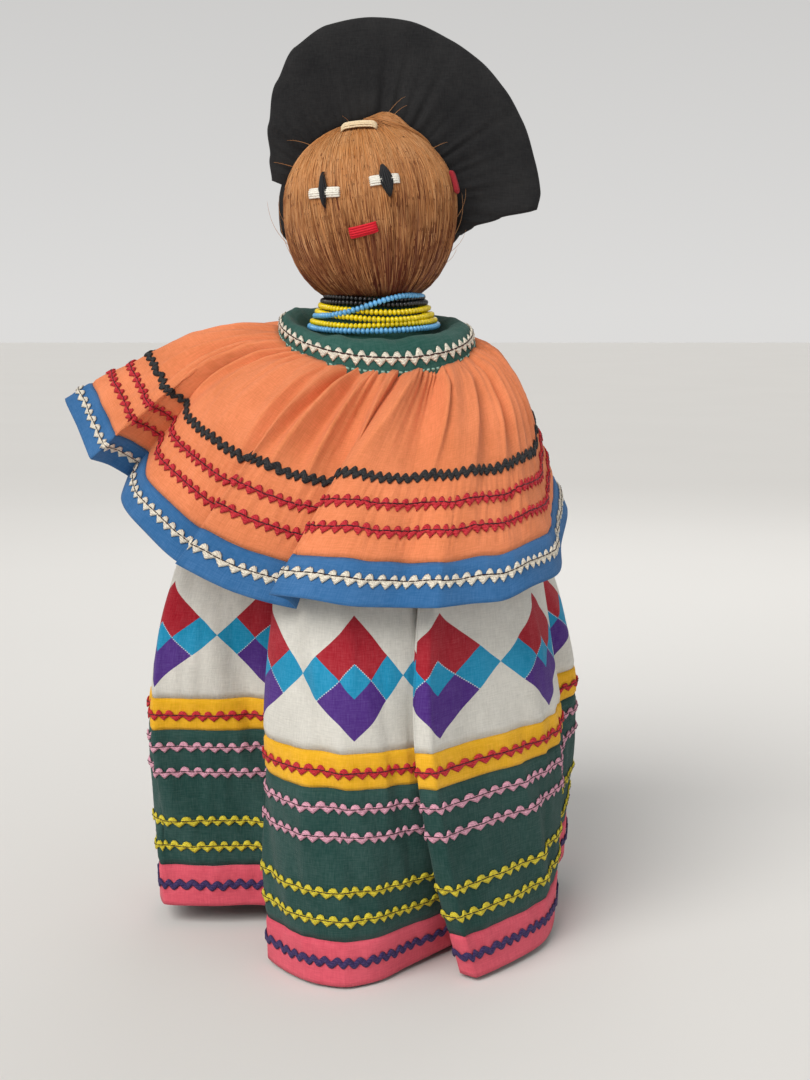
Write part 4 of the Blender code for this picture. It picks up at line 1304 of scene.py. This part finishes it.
class OBJECT_OT_doll_face(bpy.types.Operator):
    """Stitches the eyes, mouth and ears"""

    bl_idname = "object.doll_face"
    bl_label = "Face"

    def execute(self, context):
        fibre = context.scene.doll_fibre
        trim = context.scene.doll_trim
        white = thread_finish("eye_white_thread", fibre.stitch_white)
        black = thread_finish("pupil_thread", trim.black)
        red = thread_finish("mouth_thread", fibre.stitch_red)
        felt = cloth_finish("red_ear_felt", fibre.ear)

        for name, eye, pupil, width in (("left", EYE_LEFT, PUPIL_LEFT, PUPIL_WIDTH_LEFT),
                                        ("right", EYE_RIGHT, PUPIL_RIGHT, PUPIL_WIDTH_RIGHT)):
            stitched_bar("eye_stitches_" + name, eye, EYE_BAR, white, "white_stitch", "eye_white_" + name)
            stitched_bar("pupil_stitches_" + name, pupil, (width, PUPIL_THREADS, PUPIL_RISE), black,
                         "black_stitch", "pupil_" + name, pointed=True)
        felt_patch("ear_felt_left", EAR_LEFT, EAR_RISE_LEFT, felt, "ear_left")
        felt_patch("ear_felt_right", EAR_RIGHT, EAR_RISE_RIGHT, felt, "ear_right")
        stitched_bar("mouth_stitches", MOUTH, MOUTH_BAR, red, "red_stitch", "mouth")
        return {"FINISHED"}


def board_rim(angle):
    """Direction of the cap's rim: beside the face above, and well back of the neck below."""
    below = max(0.0, -math.sin(math.radians(angle)) - CAP_DROP_START) / (1 - CAP_DROP_START)
    back = math.radians(CAP_RIM_BACK + (CAP_NAPE_BACK - CAP_RIM_BACK) * min(1.0, 1.4 * below))
    flat = math.radians(angle)
    return Vector((math.cos(flat) * math.cos(back), math.sin(back), math.sin(flat) * math.cos(back)))


def board_reach(angle):
    """How far the brim reaches from the head's centre at an angle in degrees, or 0 round the nape."""
    first, last = BOARD_OUTLINE[0], BOARD_OUTLINE[-1]
    if angle < first[0] or angle > last[0]:
        return 0.0
    for (a, low), (b, high) in zip(BOARD_OUTLINE, BOARD_OUTLINE[1:]):
        if a <= angle <= b:
            curved = (high - low) * smooth_step(a, b, angle) * 0.5
            straight = (high - low) * 0.5 * (angle - a) / (b - a)
            return (low + curved + straight) * MM
    return 0.0


class OBJECT_OT_doll_board(bpy.types.Operator):
    """Builds the black hair board: a cap with a wide flat brim"""

    bl_idname = "object.doll_board"
    bl_label = "Hair board"

    def execute(self, context):
        fibre = context.scene.doll_fibre
        bm = bmesh.new()
        back = Vector((0, 1, 0))

        def bowl(angle, share, lift):
            return head_surface(board_rim(angle).slerp(back, min(0.9999, share)), lift)

        def brim(angle, out, depth):
            base = bowl(angle, 0.0, CAP_LIFT)
            flat = math.radians(angle)
            away = Vector((math.cos(flat), BOARD_LEAN * math.sin(flat), math.sin(flat)))
            here = math.hypot(base.x - HEAD_CENTRE.x, base.z - HEAD_CENTRE.z)
            extent = max(CAP_THICKNESS * 0.6, board_reach(angle) - here)
            thickness = CAP_THICKNESS + (BOARD_THICKNESS - CAP_THICKNESS) * min(1.0, extent / 0.012)
            gathers = wave(angle / 360, 110, 4.4) * math.exp(-out * extent / 0.016)
            crown = BOARD_GATHER * gathers + BOARD_WAVE * wave(angle / 360, 24, 8.8) * out
            crown *= smooth_step(0.0, 0.01, extent)
            bulge = math.sin(math.pi * min(1.0, out)) * BOARD_BULGE
            spot = base + away * (extent * out) + back * thickness * depth
            puff = crown * smooth_step(0.0, 0.12, out) + bulge
            return spot - back * (puff * (1 if depth < 0.5 else -0.6))

        def place(x, y):
            angle = BOARD_START - 360.0 * x
            angle = angle if angle > -180.0 else angle + 360.0
            row = y * BOARD_ROWS
            if row <= CAP_ROW:
                return bowl(angle, 0.9999 * (1 - row / CAP_ROW), CAP_LIFT)
            if row <= FRONT_ROW:
                return brim(angle, (row - CAP_ROW) / (FRONT_ROW - CAP_ROW), 0.0)
            if row <= RIM_ROW:
                turn = math.pi * (row - FRONT_ROW) / (RIM_ROW - FRONT_ROW)
                depth = (1 - math.cos(turn)) / 2
                spot = brim(angle, 1.0, depth)
                flat = math.radians(angle)
                return spot + Vector((math.cos(flat), 0, math.sin(flat))) * (BOARD_RIM_ROUND * math.sin(turn))
            if row <= BACK_ROW:
                return brim(angle, (BACK_ROW - row) / (BACK_ROW - RIM_ROW) * 0.98, 1.0)
            share = (row - BACK_ROW) / (BOARD_ROWS - BACK_ROW)
            start = brim(angle, 0.0, 1.0)
            end = bowl(angle, share, CAP_LIFT + CAP_THICKNESS)
            return start.lerp(end, smooth_step(0.0, 0.4, share))

        mapped_grid(bm, BOARD_COLUMNS, BOARD_ROWS, place)
        close_seams(bm)
        bmesh.ops.recalc_face_normals(bm, faces=bm.faces)
        material = board_finish("black_board_cotton", fibre.board)
        add_piece("hair_board_cloth", bm, [material], "black_cloth", ["hair_board"])
        return {"FINISHED"}


class OBJECT_OT_doll_body(bpy.types.Operator):
    """Builds the fibre trunk and the loose fibres at its foot"""

    bl_idname = "object.doll_body"
    bl_label = "Body"

    def execute(self, context):
        fibre = context.scene.doll_fibre
        bm = bmesh.new()
        line = [bm.verts.new((radius, 0, height)) for radius, height in BODY_PROFILE]
        for before, after in zip(line, line[1:]):
            bm.edges.new((before, after))
        bmesh.ops.spin(bm, geom=bm.verts[:] + bm.edges[:], cent=(0, 0, 0), axis=(0, 0, 1), angle=2 * math.pi,
                       steps=BODY_STEPS, use_merge=True)
        close_seams(bm)
        bmesh.ops.recalc_face_normals(bm, faces=bm.faces)
        layer = bm.loops.layers.uv.verify()
        for face in bm.faces:
            for loop in face.loops:
                spot = loop.vert.co
                loop[layer].uv = (math.atan2(spot.y, spot.x) / (2 * math.pi), spot.z / 0.25)
        random.seed(23)
        for n in range(FOOT_FIBRES):
            self.foot_fibre(bm, fibre, 2 * math.pi * (n + random.random()) / FOOT_FIBRES)
        material = fibre_finish("body_fibre", fibre.fibre, fibre.fibre_dark, 0.04)
        add_piece("body_fibre_trunk", bm, [material], "fibre_dark", ["body"])
        return {"FINISHED"}

    def foot_fibre(self, bm, fibre, turn):
        """A loose fibre down the foot of the trunk, bent out where it meets the ground."""
        top = random.uniform(0.012, 0.05)
        splay = random.uniform(0.0002, 0.0055)
        drift = random.uniform(-0.05, 0.05)

        def centre(t):
            angle = turn + drift * t
            radius = FOOT_RADIUS + 0.0006 * (1 - t) + splay * t ** 5
            return Vector((radius * math.cos(angle), radius * math.sin(angle), top + (0.0005 - top) * t))

        tube(bm, centre, FOOT_STEPS, lambda t: fibre.strand_radius * 1.3 * taper(t, 0.1), FIBRE_SIDES,
             coordinates=lambda x, y: (turn / (2 * math.pi), 0.2 - 0.2 * y))


def add_light(name, place, size, power, colour=(1.0, 1.0, 1.0)):
    """A square lamp that faces the middle of the doll."""
    data = bpy.data.lights.new(name, "AREA")
    data.size = size
    data.energy = power
    data.color = colour
    thing = bpy.data.objects.new(name, data)
    thing.location = place
    thing.rotation_euler = (STAGE_TARGET - Vector(place)).to_track_quat("-Z", "Y").to_euler()
    bpy.context.collection.objects.link(thing)


class SCENE_OT_doll_stage(bpy.types.Operator):
    """Sets up the pale floor, the soft lights and the camera"""

    bl_idname = "scene.doll_stage"
    bl_label = "Stage"

    def execute(self, context):
        bm = bmesh.new()
        bmesh.ops.create_grid(bm, x_segments=2, y_segments=2, size=FLOOR_REACH)
        bmesh.ops.translate(bm, verts=bm.verts, vec=(0.0, 0.0, -FLOOR_DROP))
        mesh = bpy.data.meshes.new("floor")
        bm.to_mesh(mesh)
        bm.free()
        mesh.materials.append(floor_finish())
        floor = bpy.data.objects.new("floor", mesh)
        context.collection.objects.link(floor)
        key = bpy.data.lights.new("key_light", "SUN")
        key.energy = KEY_POWER
        key.angle = math.radians(KEY_SPREAD)
        key.color = KEY_COLOUR
        lamp = bpy.data.objects.new("key_light", key)
        lamp.rotation_euler = (STAGE_TARGET - KEY_PLACE).to_track_quat("-Z", "Y").to_euler()
        context.collection.objects.link(lamp)
        add_light("fill_light", FILL_PLACE, 0.9, 1.2, FILL_COLOUR)
        add_light("back_light", BACK_PLACE, 0.8, 2.5)
        context.scene.view_settings.view_transform = "Standard"
        world = bpy.data.worlds.new("studio")
        world.use_nodes = True
        nodes = world.node_tree.nodes
        links = world.node_tree.links
        way = nodes.new("ShaderNodeTexCoord")
        split = nodes.new("ShaderNodeSeparateXYZ")
        blend = nodes.new("ShaderNodeMapRange")
        links.new(way.outputs["Generated"], split.inputs[0])
        links.new(split.outputs[2], blend.inputs["Value"])
        for label, value in (("From Max", 0.7), ("To Min", WORLD_LOW), ("To Max", WORLD_HIGH)):
            blend.inputs[label].default_value = value
        links.new(blend.outputs[0], nodes["Background"].inputs["Strength"])
        nodes["Background"].inputs["Color"].default_value = WORLD_COLOUR
        context.scene.world = world
        data = bpy.data.cameras.new("camera")
        data.sensor_width = CAMERA_SENSOR
        data.lens = CAMERA_LENS
        data.clip_start = 0.01
        camera = bpy.data.objects.new("camera", data)
        camera.location = CAMERA_PLACE
        camera.rotation_euler = (math.radians(90 - CAMERA_TILT), 0.0, 0.0)
        context.collection.objects.link(camera)
        context.scene.camera = camera
        return {"FINISHED"}


class VIEW3D_PT_palmetto_doll(bpy.types.Panel):
    """Lists the doll's pieces"""

    bl_label = "Palmetto Doll"
    bl_space_type = "VIEW_3D"
    bl_region_type = "UI"
    bl_category = "Palmetto Doll"

    def draw(self, context):
        for operator in OPERATORS:
            self.layout.operator(operator.bl_idname)


SETTINGS = (DollClothSettings, DollTrimSettings, DollFibreSettings)
OPERATORS = (SCENE_OT_doll_stage, OBJECT_OT_doll_body, OBJECT_OT_doll_head, OBJECT_OT_doll_face,
             OBJECT_OT_doll_board, OBJECT_OT_doll_skirt, OBJECT_OT_doll_skirt_braids, OBJECT_OT_doll_cape,
             OBJECT_OT_doll_cape_braids, OBJECT_OT_doll_yoke, OBJECT_OT_doll_necklaces)


def register():
    for kind in (*SETTINGS, *OPERATORS, VIEW3D_PT_palmetto_doll):
        bpy.utils.register_class(kind)
    bpy.types.Scene.doll_cloth = PointerProperty(type=DollClothSettings)
    bpy.types.Scene.doll_trim = PointerProperty(type=DollTrimSettings)
    bpy.types.Scene.doll_fibre = PointerProperty(type=DollFibreSettings)


def unregister():
    del bpy.types.Scene.doll_cloth
    del bpy.types.Scene.doll_trim
    del bpy.types.Scene.doll_fibre
    for kind in (VIEW3D_PT_palmetto_doll, *reversed(OPERATORS), *reversed(SETTINGS)):
        bpy.utils.unregister_class(kind)


def main():
    register()
    bpy.ops.scene.doll_stage()
    bpy.ops.object.doll_body()
    bpy.ops.object.doll_head()
    bpy.ops.object.doll_face()
    bpy.ops.object.doll_board()
    bpy.ops.object.doll_skirt()
    bpy.ops.object.doll_skirt_braids()
    bpy.ops.object.doll_cape()
    bpy.ops.object.doll_cape_braids()
    bpy.ops.object.doll_yoke()
    bpy.ops.object.doll_necklaces()


if __name__ == "__main__":
    main()
